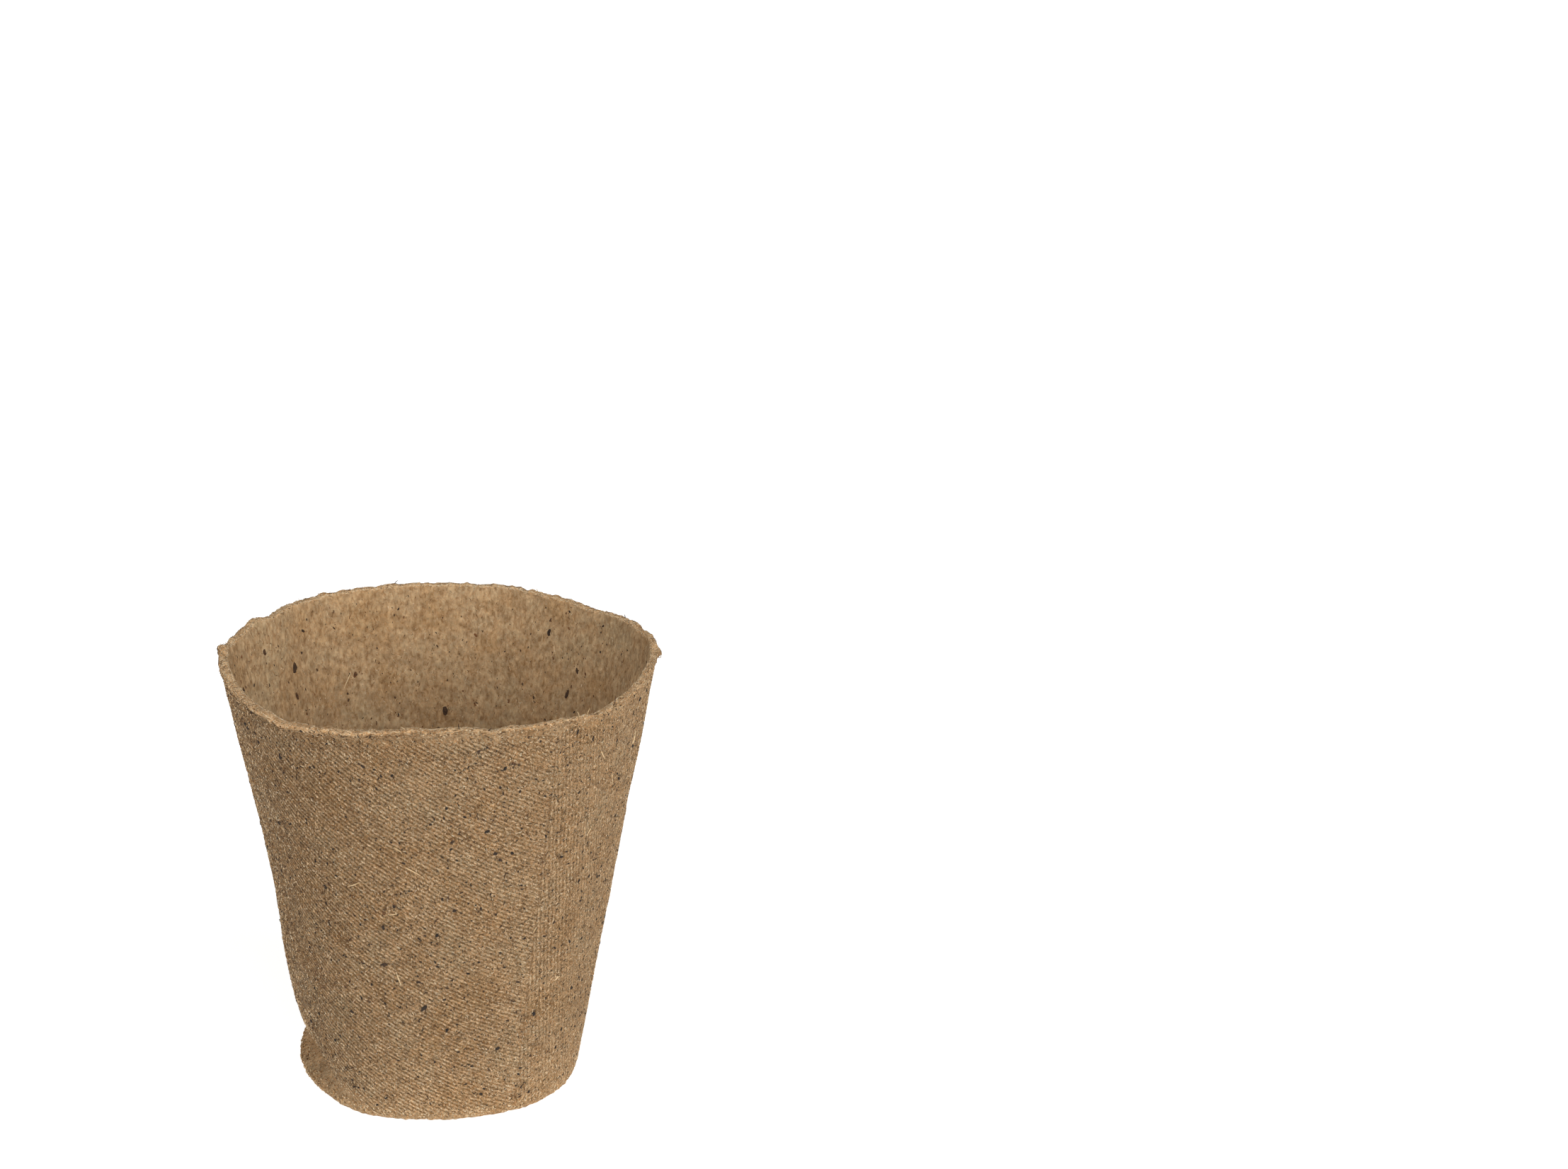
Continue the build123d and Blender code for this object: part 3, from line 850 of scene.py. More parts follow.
def makeMeshThreads(material):
    # threads on a grid over the flat sheet, rolled up onto the cone, in six pieces round the pot
    threads = meshThreads
    rng = np.random.default_rng(threads["seed"])
    reach = (pot["mouthRadius"] + 1) / coneSine
    along = np.arange(-reach, reach, screen["pitchAlong"])
    across = np.arange(-reach, reach, screen["pitchAcross"] / threads["perMesh"])
    along, across = (grid.ravel() for grid in np.meshgrid(along, across))
    along = along + rng.uniform(0, screen["pitchAlong"], along.shape)
    # the two threads of a mesh lie closer to each other than to the next row's
    row = across / screen["pitchAcross"]
    across = across + threads["pairShift"] * np.where(np.round(row * 2) % 2 == 0, 1, -1)
    across = across + rng.normal(0, threads["jitter"], along.shape)
    angle, height = offSheet(along, across)
    away = angle - screen["seamAngle"] - 180
    kept = (np.abs(away) < 180 - threads["seamHalfGap"]) & (height > threads["lowest"])
    kept &= height < rimHeight(angle) - threads["belowRim"] - threads["belowLeftLip"] * lobe(angle, *leftLip)
    kept &= rng.random(angle.shape) > threads["missingShare"]
    onFlange = height < pot["dentCreaseHeight"] + threads["flangeTop"]
    kept &= ~((dent(angle, height) > threads["flangeDent"]) & onFlange)
    angle, height, away = angle[kept], height[kept], away[kept]
    count = len(angle)
    strength = imprintStrength(angle, height)
    crossing = rng.random(count) < crossingShare(angle)
    heading = screen["wireAngle"] + away * coneSine + np.where(crossing, 90, threads["twist"])
    loose = 1 + threads["looseHeading"] * (1 - strength)
    heading = heading + rng.normal(0, 1, count) * threads["headingSpread"] * loose
    length = rng.uniform(*threads["length"], count)
    bend, kink = rng.normal(0, threads["bend"], count), rng.normal(0, threads["kink"], count)
    width = rng.uniform(*threads["width"], count)
    least, more = threads["thickByImprint"]
    thick = rng.uniform(*threads["thick"], count) * (least + more * strength)
    # painted bounce light paler near the foot, painted shade darker at the pot's left, and more alike to the
    # right of the seam
    alike = easeBetween((angle + 180) % 360 - 180, *threads["alike"])
    paintedShade = lobe(angle, *paintedShadeLeft)
    spread = 1 - threads["lessSpreadAlike"] * alike + threads["moreSpreadDark"] * paintedShade
    shade = threads["shade"] + lumpLayers(onWall(angle, height), threads["shadeLumps"])
    shade = shade + rng.normal(0, threads["shadeSpread"], count) * spread
    pale, start, end = threads["paintedBounceFoot"]
    shade = np.clip(shade + pale * easeBetween(height, start, end) - threads["threadPaintedShade"] * paintedShade, 0, 1)
    sector = np.floor((angle % 360) / (360 / len(threads["names"])))
    for part, name in enumerate(threads["names"]):
        chosen = sector == part
        path = strandPath(angle[chosen], height[chosen], "outside", heading[chosen], length[chosen],
                          bend[chosen], kink[chosen], threads["steps"])
        strandPiece(name, *skin(*path), width[chosen], thick[chosen], shade[chosen], material, "peat_felt")


# Longer thin fibres that lie anyhow over the felt: how many, where, and their sizes in mm. Each shade is the
# middle one and its spread.
looseFibres = [
    {"name": "outsideFibres", "side": "outside", "count": 5200, "heights": (1, 80.5), "heading": (-40, 48),
     "length": (0.6, 1.7), "width": (0.08, 0.15), "thick": 0.06, "shade": (0.74, 0.16), "seed": 51},
    {"name": "darkFibres", "side": "outside", "count": 2500, "heights": (1, 80.5), "heading": (-30, 60),
     "length": (0.4, 1.4), "width": (0.11, 0.22), "thick": 0.08, "shade": (0.0, 0.08), "seed": 53},
    {"name": "rootBits", "side": "outside", "count": 2700, "heights": (1, 81), "heading": (-50, 60),
     "length": (0.35, 1.1), "width": (0.14, 0.27), "thick": 0.09, "shade": (0.18, 0.22), "seed": 57},
    # painted shade: dark strands just under the rim for the shade in its torn cracks
    {"name": "rimCrackShade", "side": "rim", "count": 440, "heights": (0.0, 1.3), "heading": (0, 24),
     "length": (0.35, 1.3), "width": (0.08, 0.17), "thick": 0.07, "shade": (0.08, 0.12), "seed": 55},
    {"name": "rimFibres", "side": "rim", "count": 4200, "heights": (0.75, 2.3), "heading": (0, 24),
     "length": (0.4, 1.1), "width": (0.08, 0.18), "thick": 0.055, "shade": (0.9, 0.17), "seed": 56},
    {"name": "insideFibres", "side": "inside", "count": 5000, "heights": (3, 80.5), "heading": (90, 26),
     "length": (0.7, 2.2), "width": (0.16, 0.36), "thick": 0.04, "shade": (0.69, 0.10), "seed": 52},
    {"name": "darkInsideFibres", "side": "inside", "count": 900, "heights": (3, 80.5), "heading": (90, 26),
     "length": (0.5, 1.4), "width": (0.16, 0.34), "thick": 0.04, "shade": (0.22, 0.08), "seed": 54},
]
# What all loose fibres share: bends, half as strong on the rim, and where they keep off the lip and flange.
fibreLie = {"bend": 0.16, "kink": 0.07, "rimBendShare": 0.5, "lowSqueeze": 0.85, "steps": 6,
            "lipDrop": 2.0, "lipDropFades": (1.8, 0.8), "flangeDent": 0.5, "flangeTop": 3.6}


def makeLooseFibres(rows, fibreMaterial, rootMaterial):
    # strands at random places and headings, a few more of them high up, and none on the foot's flange
    for row in rows:
        onRim = row["side"] == "rim"
        bendShare = fibreLie["rimBendShare"] if onRim else 1.0
        rng = np.random.default_rng(row["seed"])
        count = row["count"]
        angle = rng.uniform(0, 360, count)
        low, high = row["heights"]
        height = low + (high - low) * rng.random(count) ** fibreLie["lowSqueeze"]
        if onRim:
            drop = fibreLie["lipDrop"] * lobe(angle, *leftLip)
            drop = drop * easeBetween(height, *fibreLie["lipDropFades"])
            height = height - drop * rng.random(count)
        elif row["side"] == "outside":
            clear = (dent(angle, height) < fibreLie["flangeDent"]) | (height > fibreLie["flangeTop"])
            angle, height = angle[clear], height[clear]
            count = len(angle)
        heading = rng.normal(*row["heading"], count)
        length = rng.uniform(*row["length"], count)
        bend = rng.normal(0, fibreLie["bend"] * bendShare, count)
        kink = rng.normal(0, fibreLie["kink"] * bendShare, count)
        path = strandPath(angle, height, row["side"], heading, length, bend, kink, fibreLie["steps"])
        shade = drawShades(rng, row, count)
        width, thick = rng.uniform(*row["width"], count), np.full(count, row["thick"])
        isRoot = row["name"] == "rootBits"
        material, slotName = (rootMaterial, "bark") if isRoot else (fibreMaterial, "peat_felt")
        strandPiece(row["name"], *skin(*path), width, thick, shade, material, slotName)


# How uneven a chip's points are, as shares of its width and length.
chip = {"widthRange": (0.58, 1.28), "lengthRange": (0.85, 1.1)}


def bitMesh(angle, way, heading, length, width, thick, proud, rng, rings, sides):
    # Lumpy chips sunk into the skin. Each is a few rings of points along its length between two end points,
    # every point pushed in or out at random. proud is the share of its depth that stands out of the felt.
    count = len(angle)
    place, out = skin(angle, way)
    level, rise = localAxes(out)
    turn = np.radians(heading)[:, None]
    along = level * np.cos(turn) + rise * np.sin(turn)
    beside = rise * np.cos(turn) - level * np.sin(turn)
    lengthwise = np.cos(math.pi * (np.arange(rings) + 1) / (rings + 1))
    around = 2 * math.pi * np.arange(sides) / sides
    rough = rng.uniform(*chip["widthRange"], (count, rings, sides))
    radius = np.sqrt(1 - lengthwise ** 2)[None, :, None] * rough
    x = lengthwise[None, :, None] * rng.uniform(*chip["lengthRange"], (count, rings, sides))
    y = radius * np.cos(around)
    z = radius * np.sin(around)
    ends = np.stack([np.ones(count), -np.ones(count)], axis=1)
    x = np.concatenate([ends[:, :1], x.reshape(count, -1), ends[:, 1:]], axis=1)
    zeros = np.zeros((count, 1))
    y = np.concatenate([zeros, y.reshape(count, -1), zeros], axis=1)
    z = np.concatenate([zeros, z.reshape(count, -1), zeros], axis=1)
    centre = place + out * ((proud - 0.5) * thick)[:, None]
    points = (centre[:, None] + along[:, None] * (x * length[:, None] / 2)[..., None]
              + beside[:, None] * (y * width[:, None] / 2)[..., None]
              + out[:, None] * (z * thick[:, None] / 2)[..., None])
    each = rings * sides + 2
    faces = []
    for side in range(sides):
        nextSide = (side + 1) % sides
        faces.append((0, 1 + side, 1 + nextSide))
        for ring in range(rings - 1):
            a, b = 1 + ring * sides, 1 + (ring + 1) * sides
            faces += [(a + side, b + side, b + nextSide), (a + side, b + nextSide, a + nextSide)]
        a = 1 + (rings - 1) * sides
        faces.append((a + side, each - 1, a + nextSide))
    numbers = np.array(faces)[None] + (np.arange(count) * each)[:, None, None]
    return points.reshape(-1, 3), numbers.reshape(-1), each


def bitPiece(row, angle, height, heading, length, width, thick, proud, shade, material, rings=2, sides=5):
    # one piece of many chips on one side of the felt, flat-faced, as broken bark is
    rng = np.random.default_rng(row["seed"])
    way = outsideWay(angle, height) if row["side"] == "outside" else insideWay(height)
    points, corners, each = bitMesh(angle, way, heading, length, width, thick, proud, rng, rings, sides)
    newPiece(row["name"], points, corners, material, row.get("nodes", ()), smooth=False,
             shade=np.repeat(shade, each))


# Dark specks of peat all over the felt: how many, the middle size in mm and how widely sizes spread.
specks = [
    {"name": "outsideSpecks", "side": "outside", "count": 6400, "size": 0.3, "sizeSpread": 0.41,
     "largest": 0.76, "shade": (0.05, 0.2), "seed": 61},
    {"name": "insideSpecks", "side": "inside", "count": 2000, "size": 0.27, "sizeSpread": 0.38,
     "largest": 0.7, "shade": (0.56, 0.28), "seed": 62},
]
speckShape = {"heights": (2.5, 80.0), "lowSqueeze": 0.85, "smallest": 0.12, "drawnOut": (1.0, 1.7),
              "widthShare": (0.32, 0.8), "depthShare": 0.7, "proud": 0.42, "uprightSpread": 30}


def makeSpecks(rows, material):
    # chips whose size is the middle one times e to a random power, at any heading outside, upright inside
    for row in rows:
        rng = np.random.default_rng(row["seed"])
        count = row["count"]
        angle = rng.uniform(0, 360, count)
        low, high = speckShape["heights"]
        height = low + (high - low) * rng.random(count) ** speckShape["lowSqueeze"]
        length = row["size"] * np.exp(rng.normal(0, row["sizeSpread"], count))
        length = np.clip(length, speckShape["smallest"], row["largest"])
        length = length * rng.uniform(*speckShape["drawnOut"], count)
        width = length * rng.uniform(*speckShape["widthShare"], count)
        if row["side"] == "outside":
            heading = rng.uniform(0, 180, count)
        else:
            heading = rng.normal(90, speckShape["uprightSpread"], count)
        bitPiece(row, angle, height, heading, length, width, width * speckShape["depthShare"],
                 speckShape["proud"], drawShades(rng, row, count), material)


# Coarse bits at their own places, as the part's source has them, and then smaller ones. In rows, each is an
# angle, a share of the height, a length in mm and a turn from upright.
coarseCrumbs = [
    {"name": "outsideCrumbs", "side": "outside", "nodes": ["outer_bark_crumbs"], "seed": 65, "rows": [
        (-136, 0.342, 1.4, 10), (-108, 0.415, 2.0, 65), (-97, 0.376, 1.6, 80), (-107, 0.550, 1.5, -20),
        (-121, 0.277, 1.4, 30), (-144, 0.241, 1.3, 5), (-95.5, 0.308, 2.3, 40), (-134.5, 0.884, 1.9, 20),
        (-55, 0.960, 1.5, 15), (-81, 0.945, 1.5, 5), (-72, 0.912, 1.4, -35), (-87, 0.731, 1.3, 25),
        (-28, 0.520, 1.6, -15), (20, 0.660, 1.8, 30), (64, 0.350, 2.2, -50), (112, 0.700, 1.5, 10),
        (151, 0.420, 1.9, 35)]},
    {"name": "smallOutsideCrumbs", "side": "outside", "seed": 66, "rows": [
        (-112.6, 0.407, 0.8, 60), (-103.8, 0.567, 1.0, -10), (-133.3, 0.310, 0.8, 30),
        (-126.3, 0.430, 0.7, 0),
        (-118.6, 0.468, 0.8, 40), (-98.7, 0.517, 0.8, 70), (-113.6, 0.314, 0.7, 10), (-144.7, 0.532, 0.8, 0),
        (-126.8, 0.927, 0.8, 20), (-150, 0.901, 0.7, 0), (-131.5, 0.953, 0.9, 80), (-68.8, 0.970, 0.8, 20),
        (-55.4, 0.936, 0.8, 70), (-24.6, 0.867, 0.8, 10), (-32.5, 0.885, 0.7, -20), (-79.9, 0.916, 0.9, 5),
        (-70.6, 0.910, 0.8, 40), (-112.9, 0.917, 0.8, 15), (-67, 0.782, 1.2, 12), (-62, 0.751, 0.8, 40),
        (-57, 0.724, 0.8, -30), (-54, 0.701, 0.7, 10), (-50, 0.685, 0.8, 60), (-50, 0.734, 0.8, -10),
        (-60, 0.677, 1.3, 35), (-75, 0.696, 1.4, 70), (-61, 0.657, 0.8, 5), (-50, 0.632, 0.8, 50),
        (-29, 0.576, 0.9, -10), (-49, 0.604, 0.7, 20), (-59, 0.626, 0.7, -50), (-72, 0.640, 0.8, 30),
        (-72, 0.513, 1.3, 40), (-36, 0.523, 0.9, 10), (-85, 0.753, 0.9, 60), (-85, 0.772, 0.7, -20),
        (-81, 0.728, 0.7, 10), (-77, 0.780, 0.8, 40), (-91, 0.540, 0.8, 60), (-99, 0.517, 0.8, -20),
        (-79, 0.556, 0.9, 30), (-66, 0.309, 0.8, 5), (-64, 0.277, 0.7, 50), (-62, 0.261, 0.8, -20),
        (-66, 0.122, 0.9, 30), (-73, 0.187, 0.8, 20), (-75, 0.195, 0.7, 70), (-55, 0.187, 0.8, 15),
        (-72, 0.130, 0.9, -15), (-59, 0.038, 0.9, 60), (-59, 0.065, 0.8, 10), (-77, 0.070, 1.0, 80),
        (-49, 0.140, 0.8, 35), (-41, 0.113, 0.7, 0)]},
    {"name": "insideCrumbs", "side": "inside", "nodes": ["inner_bark_crumbs"], "seed": 67, "rows": [
        (144, 0.862, 2.8, -14), (137, 0.935, 1.5, 60), (158.5, 0.925, 1.8, 10), (145, 0.797, 2.2, 8),
        (175, 0.890, 1.9, 6), (119, 0.800, 1.6, -20), (89, 0.691, 2.5, 0), (79, 0.600, 1.5, 12),
        (54, 0.915, 1.9, -10), (44, 0.782, 2.6, -12), (41, 0.847, 1.7, 18), (14, 0.700, 1.6, 24),
        (-60, 0.520, 1.9, -6), (-120, 0.630, 1.7, 10)]},
    {"name": "smallInsideCrumbs", "side": "inside", "seed": 68, "rows": [
        (158.7, 0.850, 0.9, 5), (175.4, 0.912, 1.1, 4), (151.2, 0.933, 0.8, 20), (124.4, 0.960, 0.9, 0),
        (124.8, 0.920, 0.8, 40), (122.2, 0.743, 0.9, -10), (141.2, 0.746, 0.9, 10), (53.8, 0.945, 1.0, 10),
        (46.8, 0.978, 0.8, 60), (51.4, 0.857, 0.9, 0), (57.7, 0.749, 1.0, 15), (21.9, 0.923, 0.9, -15),
        (104.8, 0.687, 0.9, 5), (78.8, 0.711, 1.0, 20), (66.9, 0.726, 0.9, 0), (62.4, 0.775, 0.9, 10)]},
]

# How a coarse bit breaks up: one chip of most of its length, and smaller ones strewn close round it.
# strewnWithin is a share of its length, and strewnTurn makes degrees of the millimetres.
crumbBreakUp = {
    "mainShare": 0.72,
    "around": 5,
    "strewnWithin": 0.55,
    "strewnTurn": 1.7,
    "smallLength": (0.22, 0.5),
    "growth": {"outside": 1.08, "inside": 1.22},
    "shade": (0.1, 0.75),
    "paler": {"outside": 0.08, "inside": 0.25},
    "widthShare": (0.45, 0.75),
    "depthShare": 0.5,
    "proud": 0.36,
    "rings": 3,
    "sides": 6,
}


def makeCrumbs(rows, material):
    # chips at the listed places, and small ones at normally spread places round each
    for row in rows:
        side = row["side"]
        angle, share, length, turn = np.array(row["rows"], float).T
        rng = np.random.default_rng(row["seed"])
        heading = 90 - turn if side == "outside" else 90 + turn
        height = share * pot["height"]
        around = crumbBreakUp["around"]
        length = length * crumbBreakUp["growth"][side]
        far = crumbBreakUp["strewnWithin"] * np.repeat(length, around)
        strewn = len(far)
        away = rng.normal(0, 1, strewn) * far * crumbBreakUp["strewnTurn"]
        angle = np.concatenate([angle, np.repeat(angle, around) + away])
        height = np.concatenate([height, np.repeat(height, around) + rng.normal(0, 1, strewn) * far])
        heading = np.concatenate([heading, rng.uniform(0, 180, strewn)])
        small = rng.uniform(*crumbBreakUp["smallLength"], strewn)
        length = np.concatenate([length * crumbBreakUp["mainShare"], small])
        shade = rng.uniform(*crumbBreakUp["shade"], len(angle)) + crumbBreakUp["paler"][side]
        width = length * rng.uniform(*crumbBreakUp["widthShare"], len(angle))
        bitPiece(row, angle, height, heading, length, width, crumbBreakUp["depthShare"] * width,
                 crumbBreakUp["proud"], shade, material, crumbBreakUp["rings"], crumbBreakUp["sides"])


# Crumbs of loose pulp along the torn rim and round the foot's edge: how many, skin's ways and sizes in mm.
pulpCrumbs = [
    {"name": "rimCrumbs", "count": 900, "ways": (1.0, 1.9), "size": (0.2, 0.45), "shade": (0.66, 0.22),
     "seed": 91},
    {"name": "footCrumbs", "count": 1700, "ways": (0.006, 0.028), "size": (0.28, 0.75), "shade": (0.62, 0.19),
     "seed": 92},
]
pulpCrumbShape = {"widthShare": (0.5, 0.9), "depthShare": 0.7, "headingSpread": 40, "proud": 0.3, "rings": 2,
                  "sides": 5}


def makePulpCrumbs(rows, material):
    # chips strewn evenly round the pot between two ways
    shape = pulpCrumbShape
    for row in rows:
        rng = np.random.default_rng(row["seed"])
        count = row["count"]
        length = rng.uniform(*row["size"], count)
        width = length * rng.uniform(*shape["widthShare"], count)
        shade = drawShades(rng, row, count)
        angle, way = rng.uniform(0, 360, count), rng.uniform(*row["ways"], count)
        heading = rng.normal(0, shape["headingSpread"], count)
        points, corners, each = bitMesh(angle, way, heading, length, width, shape["depthShare"] * width,
                                        shape["proud"], rng, shape["rings"], shape["sides"])
        newPiece(row["name"], points, corners, material, shade=np.repeat(shade, each))


# Pale slivers of straw that lie flat in the felt, with the same four columns as the crumbs.
slivers = [
    {"name": "outsideSlivers", "side": "outside", "node": "outer_straw_slivers", "width": 0.3, "seed": 71,
     "rows": [(-103.5, 0.384, 3.4, -16), (-98, 0.656, 3.8, -58), (-115.5, 0.610, 3.2, 62),
              (-44.5, 0.880, 3.0, -35),
              (-24.5, 0.860, 3.4, 20), (35, 0.500, 5.0, 25), (130, 0.220, 4.2, -40), (-104, 0.548, 1.5, 80),
              (-61, 0.487, 1.4, 20), (-45, 0.700, 1.6, 35), (-102, 0.709, 1.7, -55), (-50, 0.337, 1.5, 60)]},
    {"name": "insideSlivers", "side": "inside", "node": "inner_straw_slivers", "width": 0.34, "seed": 72,
     "rows": [(155, 0.940, 3.4, -20), (122, 0.790, 4.2, -34), (74, 0.500, 3.4, 30), (10, 0.600, 3.8, -12)]},
]
sliverShape = {"bend": 0.02, "kink": 0.01, "thick": 0.12, "shade": (0.45, 0.8), "steps": 9}


def makeSlivers(rows, material):
    # nearly straight strands at the listed places
    for row in rows:
        angle, share, length, turn = np.array(row["rows"], float).T
        rng = np.random.default_rng(row["seed"])
        count = len(angle)
        heading = 90 - turn if row["side"] == "outside" else 90 + turn
        bend, kink = rng.normal(0, sliverShape["bend"], count), rng.normal(0, sliverShape["kink"], count)
        path = strandPath(angle, share * pot["height"], row["side"], heading, length, bend, kink,
                          sliverShape["steps"])
        width, thick = np.full(count, row["width"]), np.full(count, sliverShape["thick"])
        shade = rng.uniform(*sliverShape["shade"], count)
        strandPiece(row["name"], *skin(*path), width, thick, shade, material, "straw", [row["node"]])


# Loose fibres rooted in the torn rim. In rows, each is an angle, a length in mm, a lean along the rim and
# a bow.
rimStrands = [
    {"name": "paleRimFibres", "node": "pale_rim_fibres", "slot": "straw", "width": 0.13, "seed": 75,
     "rows": [(-55, 2.4, -28, 0.05), (-52.6, 2.1, 16, -0.04), (-91, 1.4, 40, 0.10), (-99, 1.3, -50, 0.08),
              (-39, 1.9, -48, 0.08), (60, 1.5, 45, 0.10), (128, 1.3, -50, -0.12), (176, 1.4, 50, 0.10)]},
    {"name": "darkRimFibres", "node": "dark_rim_fibres", "slot": "root_fibre", "width": 0.15, "seed": 76,
     "rows": [(-86, 1.6, -4, 0.05), (-79, 1.3, 45, 0.15), (-43.3, 2.9, 12, 0.22), (25, 1.4, 50, 0.10),
              (104, 1.3, -50, 0.12)]},
]
rimStrandShape = {"rootWay": 1.45, "rootShare": 0.2, "reachShare": 0.85, "crook": 0.03, "crookWaves": 3,
                  "crookPhase": (0, 6), "droop": 0.12, "thickShare": 0.5, "sunkShare": 0.4,
                  "shade": (0.3, 0.8), "steps": 9}


def makeRimStrands(rows, materials):
    # each is one arc from inside the rim, leaning along it, with a small crook, that droops a little outwards
    shape = rimStrandShape
    for row in rows:
        angle, length, lean, bow = np.array(row["rows"], float).T
        count = len(angle)
        rng = np.random.default_rng(row["seed"])
        root, _ = skin(angle, np.full(count, shape["rootWay"]))
        upright = np.array([0.0, 0.0, 1.0])
        outward = roundPot(angle, 1 + 0 * angle, 0)
        along = np.cross(upright, outward)
        tilt = np.radians(lean)[:, None]
        rise = upright * np.cos(tilt) + along * np.sin(tilt)
        beside = along * np.cos(tilt) - upright * np.sin(tilt)
        place = np.linspace(0, 1, shape["steps"])[None, :, None]
        phase = rng.uniform(*shape["crookPhase"], count)[:, None, None]
        crook = shape["crook"] * np.sin(shape["crookWaves"] * math.pi * place + phase)
        arc = 4 * place * (1 - place) * bow[:, None, None] + crook * place
        reach = length[:, None, None] * shape["reachShare"]
        droop = shape["droop"] * place ** 2
        raised = (place - shape["rootShare"]) * rise[:, None]
        centres = root[:, None] + reach * (raised + arc * beside[:, None] + droop * outward[:, None])
        out = np.broadcast_to(outward[:, None], centres.shape)
        width = np.full(count, row["width"])
        strandPiece(row["name"], centres, out, width, width * shape["thickShare"],
                    rng.uniform(*shape["shade"], count), materials[row["slot"]], row["slot"], [row["node"]],
                    sunk=row["width"] * shape["sunkShare"])


# Fuzz: the finest hairs, standing off the rim and off the outside.
fuzz = [
    {"name": "rimFuzz", "count": 800, "ways": (1.0, 1.9), "length": (0.25, 0.6), "width": (0.05, 0.09),
     "stand": 0.35, "shade": (0.70, 0.2), "seed": 81},
    {"name": "wallFuzz", "count": 2400, "ways": (0.01, 0.975), "length": (0.3, 0.6), "width": (0.05, 0.09),
     "stand": 0.22, "shade": (0.68, 0.2), "seed": 82},
]
fuzzShape = {"standRange": (0.2, 1.2), "rootPlace": -0.15, "bow": 0.25, "thickShare": 0.6, "sunk": 0.02,
             "steps": 5}


def makeFuzz(rows, material):
    # hairs along the skin in any direction that stand off it by a share of their length, bowed sideways
    for row in rows:
        rng = np.random.default_rng(row["seed"])
        count = row["count"]
        angle = rng.uniform(0, 360, count)
        root, out = skin(angle, rng.uniform(*row["ways"], count))
        level, rise = localAxes(out)
        turn = rng.uniform(0, 2 * math.pi, count)[:, None]
        flat = level * np.cos(turn) + rise * np.sin(turn)
        sideways = rise * np.cos(turn) - level * np.sin(turn)
        stand = row["stand"] * rng.uniform(*fuzzShape["standRange"], count)[:, None]
        lean = flat + stand * out
        lean /= np.linalg.norm(lean, axis=-1, keepdims=True)
        length = rng.uniform(*row["length"], count)[:, None, None]
        place = np.linspace(fuzzShape["rootPlace"], 1, fuzzShape["steps"])[None, :, None]
        bow = rng.normal(0, fuzzShape["bow"], count)[:, None, None] * 4 * place * (1 - place)
        centres = root[:, None] + length * (place * lean[:, None] + bow * sideways[:, None])
        width = rng.uniform(*row["width"], count)
        strandPiece(row["name"], centres, np.broadcast_to(out[:, None], centres.shape), width,
                    width * fuzzShape["thickShare"], drawShades(rng, row, count), material, "peat_felt",
                    sunk=fuzzShape["sunk"])


feltMaterial = makeFelt()
fibreMaterial = makeFibre()
bitMaterials = {slotName: makeBitMaterial(kind) for slotName, kind in bitKinds.items()}
print("materials ready")

makeShell(feltMaterial)
makeMeshThreads(fibreMaterial)
makeLooseFibres(looseFibres, fibreMaterial, bitMaterials["bark"])
makeSpecks(specks, bitMaterials["bark"])
makeCrumbs(coarseCrumbs, bitMaterials["bark"])
makeSlivers(slivers, bitMaterials["straw"])
makeRimStrands(rimStrands, bitMaterials)
makePulpCrumbs(pulpCrumbs, fibreMaterial)
makeFuzz(fuzz, fibreMaterial)
print("pot ready")


floorPaper = {"halfWidth": 12.0, "colour": "#b4b4b3", "glowColour": "#fafaf9", "glow": 0.86}


def makeFloor():
    # plain white paper on a light table, far wider than the view: most of its light comes through it
    material, tree, shader = newMaterial("whitePaper", 0.9, 0.3)
    shader.inputs["Base Color"].default_value = linear(floorPaper["colour"])
    shader.inputs["Emission Color"].default_value = linear(floorPaper["glowColour"])
    shader.inputs["Emission Strength"].default_value = floorPaper["glow"]
    mesh = bpy.data.meshes.new("floor")
    half = floorPaper["halfWidth"]
    corners = [(-half, -half, 0), (half, -half, 0), (half, half, 0), (-half, half, 0)]
    mesh.from_pydata(corners, [], [(0, 1, 2, 3)])
    mesh.materials.append(material)
    floor = bpy.data.objects.new("floor", mesh)
    bpy.context.scene.collection.objects.link(floor)


# Broad soft lamps far off: each one's bearing and height in degrees, its strength, and its width as an angle.
lamps = [
    {"name": "keyLamp", "bearing": -50, "height": 30, "strength": 2.48, "width": 60, "colour": "#ffffff"},
    {"name": "leftLamp", "bearing": -170, "height": 40, "strength": 1.0, "width": 60, "colour": "#ffffff"},
    {"name": "frontLamp", "bearing": -130, "height": 35, "strength": 0.75, "width": 60, "colour": "#ffffff"},
]
surround = {"colour": "#ffffff", "strength": 0.02}


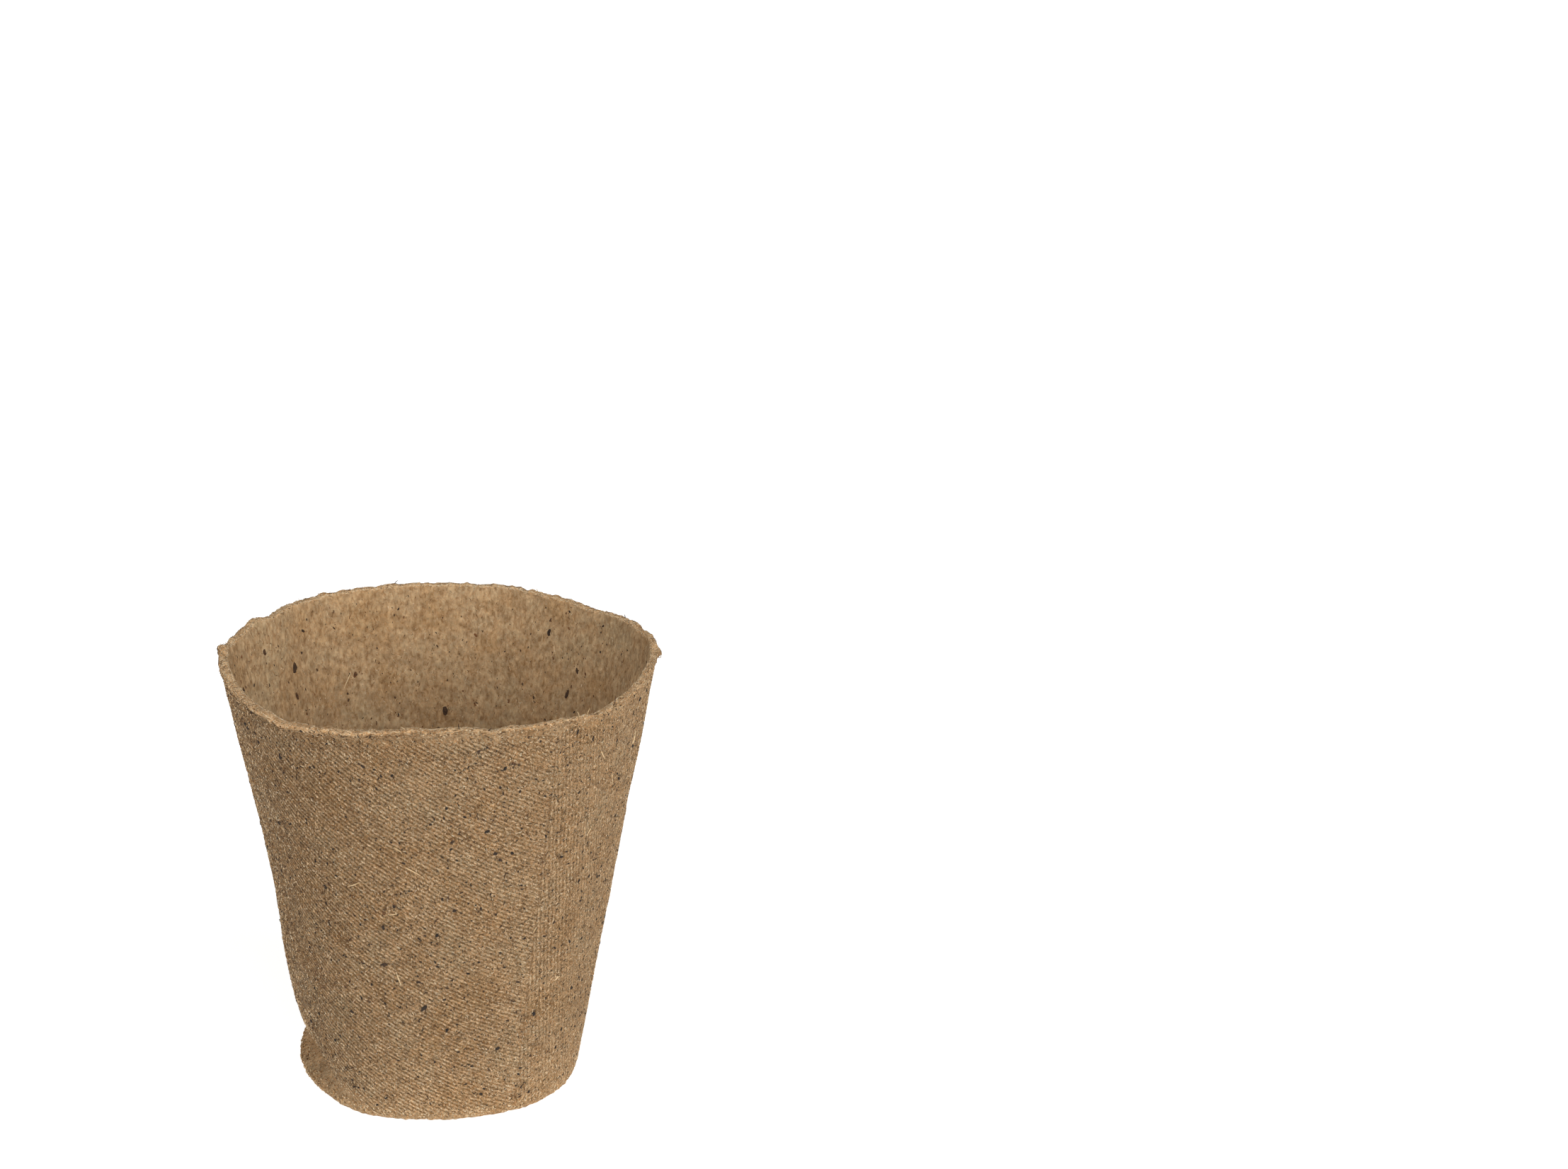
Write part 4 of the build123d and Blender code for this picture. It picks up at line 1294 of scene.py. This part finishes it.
def makeLights():
    # each lamp shines from its bearing and height towards the pot, and the white room adds a little all round
    for lamp in lamps:
        sun = bpy.data.lights.new(lamp["name"], "SUN")
        sun.energy = lamp["strength"]
        sun.angle = math.radians(lamp["width"])
        sun.color = linear(lamp["colour"])[:3]
        holder = bpy.data.objects.new(lamp["name"], sun)
        bearing, height = math.radians(lamp["bearing"]), math.radians(lamp["height"])
        level = math.cos(height)
        towards = Vector((level * math.cos(bearing), level * math.sin(bearing), math.sin(height)))
        holder.rotation_euler = (-towards).to_track_quat("-Z", "Y").to_euler()
        bpy.context.scene.collection.objects.link(holder)
    world = bpy.data.worlds.new("whiteStudio")
    world.use_nodes = True
    background = world.node_tree.nodes["Background"]
    background.inputs["Color"].default_value = linear(surround["colour"])
    background.inputs["Strength"].default_value = surround["strength"]
    bpy.context.scene.world = world


# The photograph's view: fitted to the pot's outline, angles in degrees and the place in metres.
view = {"place": (0.0, -0.36918, 0.21495), "pitch": 17.808, "yaw": 9.594, "roll": 3.267, "lens": 48.76,
        "sensorWidth": 36.0, "nearest": 0.01}


def makeCamera():
    # looks ahead by its yaw and pitch, then rolls round that direction
    pitch, yaw, roll = (math.radians(view[name]) for name in ("pitch", "yaw", "roll"))
    ahead = Vector((math.sin(yaw) * math.cos(pitch), math.cos(yaw) * math.cos(pitch), -math.sin(pitch)))
    level = ahead.cross(Vector((0, 0, 1))).normalized()
    raised = level.cross(ahead)
    right = level * math.cos(roll) + raised * math.sin(roll)
    up = raised * math.cos(roll) - level * math.sin(roll)
    data = bpy.data.cameras.new("camera")
    data.lens = view["lens"]
    data.sensor_width = view["sensorWidth"]
    data.sensor_fit = "HORIZONTAL"
    data.clip_start = view["nearest"]
    camera = bpy.data.objects.new("camera", data)
    turn = Matrix((right, up, -ahead)).transposed()
    camera.matrix_world = Matrix.Translation(view["place"]) @ turn.to_4x4()
    bpy.context.scene.collection.objects.link(camera)
    bpy.context.scene.camera = camera


makeFloor()
makeLights()
makeCamera()
bpy.context.scene.view_settings.view_transform = "Standard"
print("studio ready")
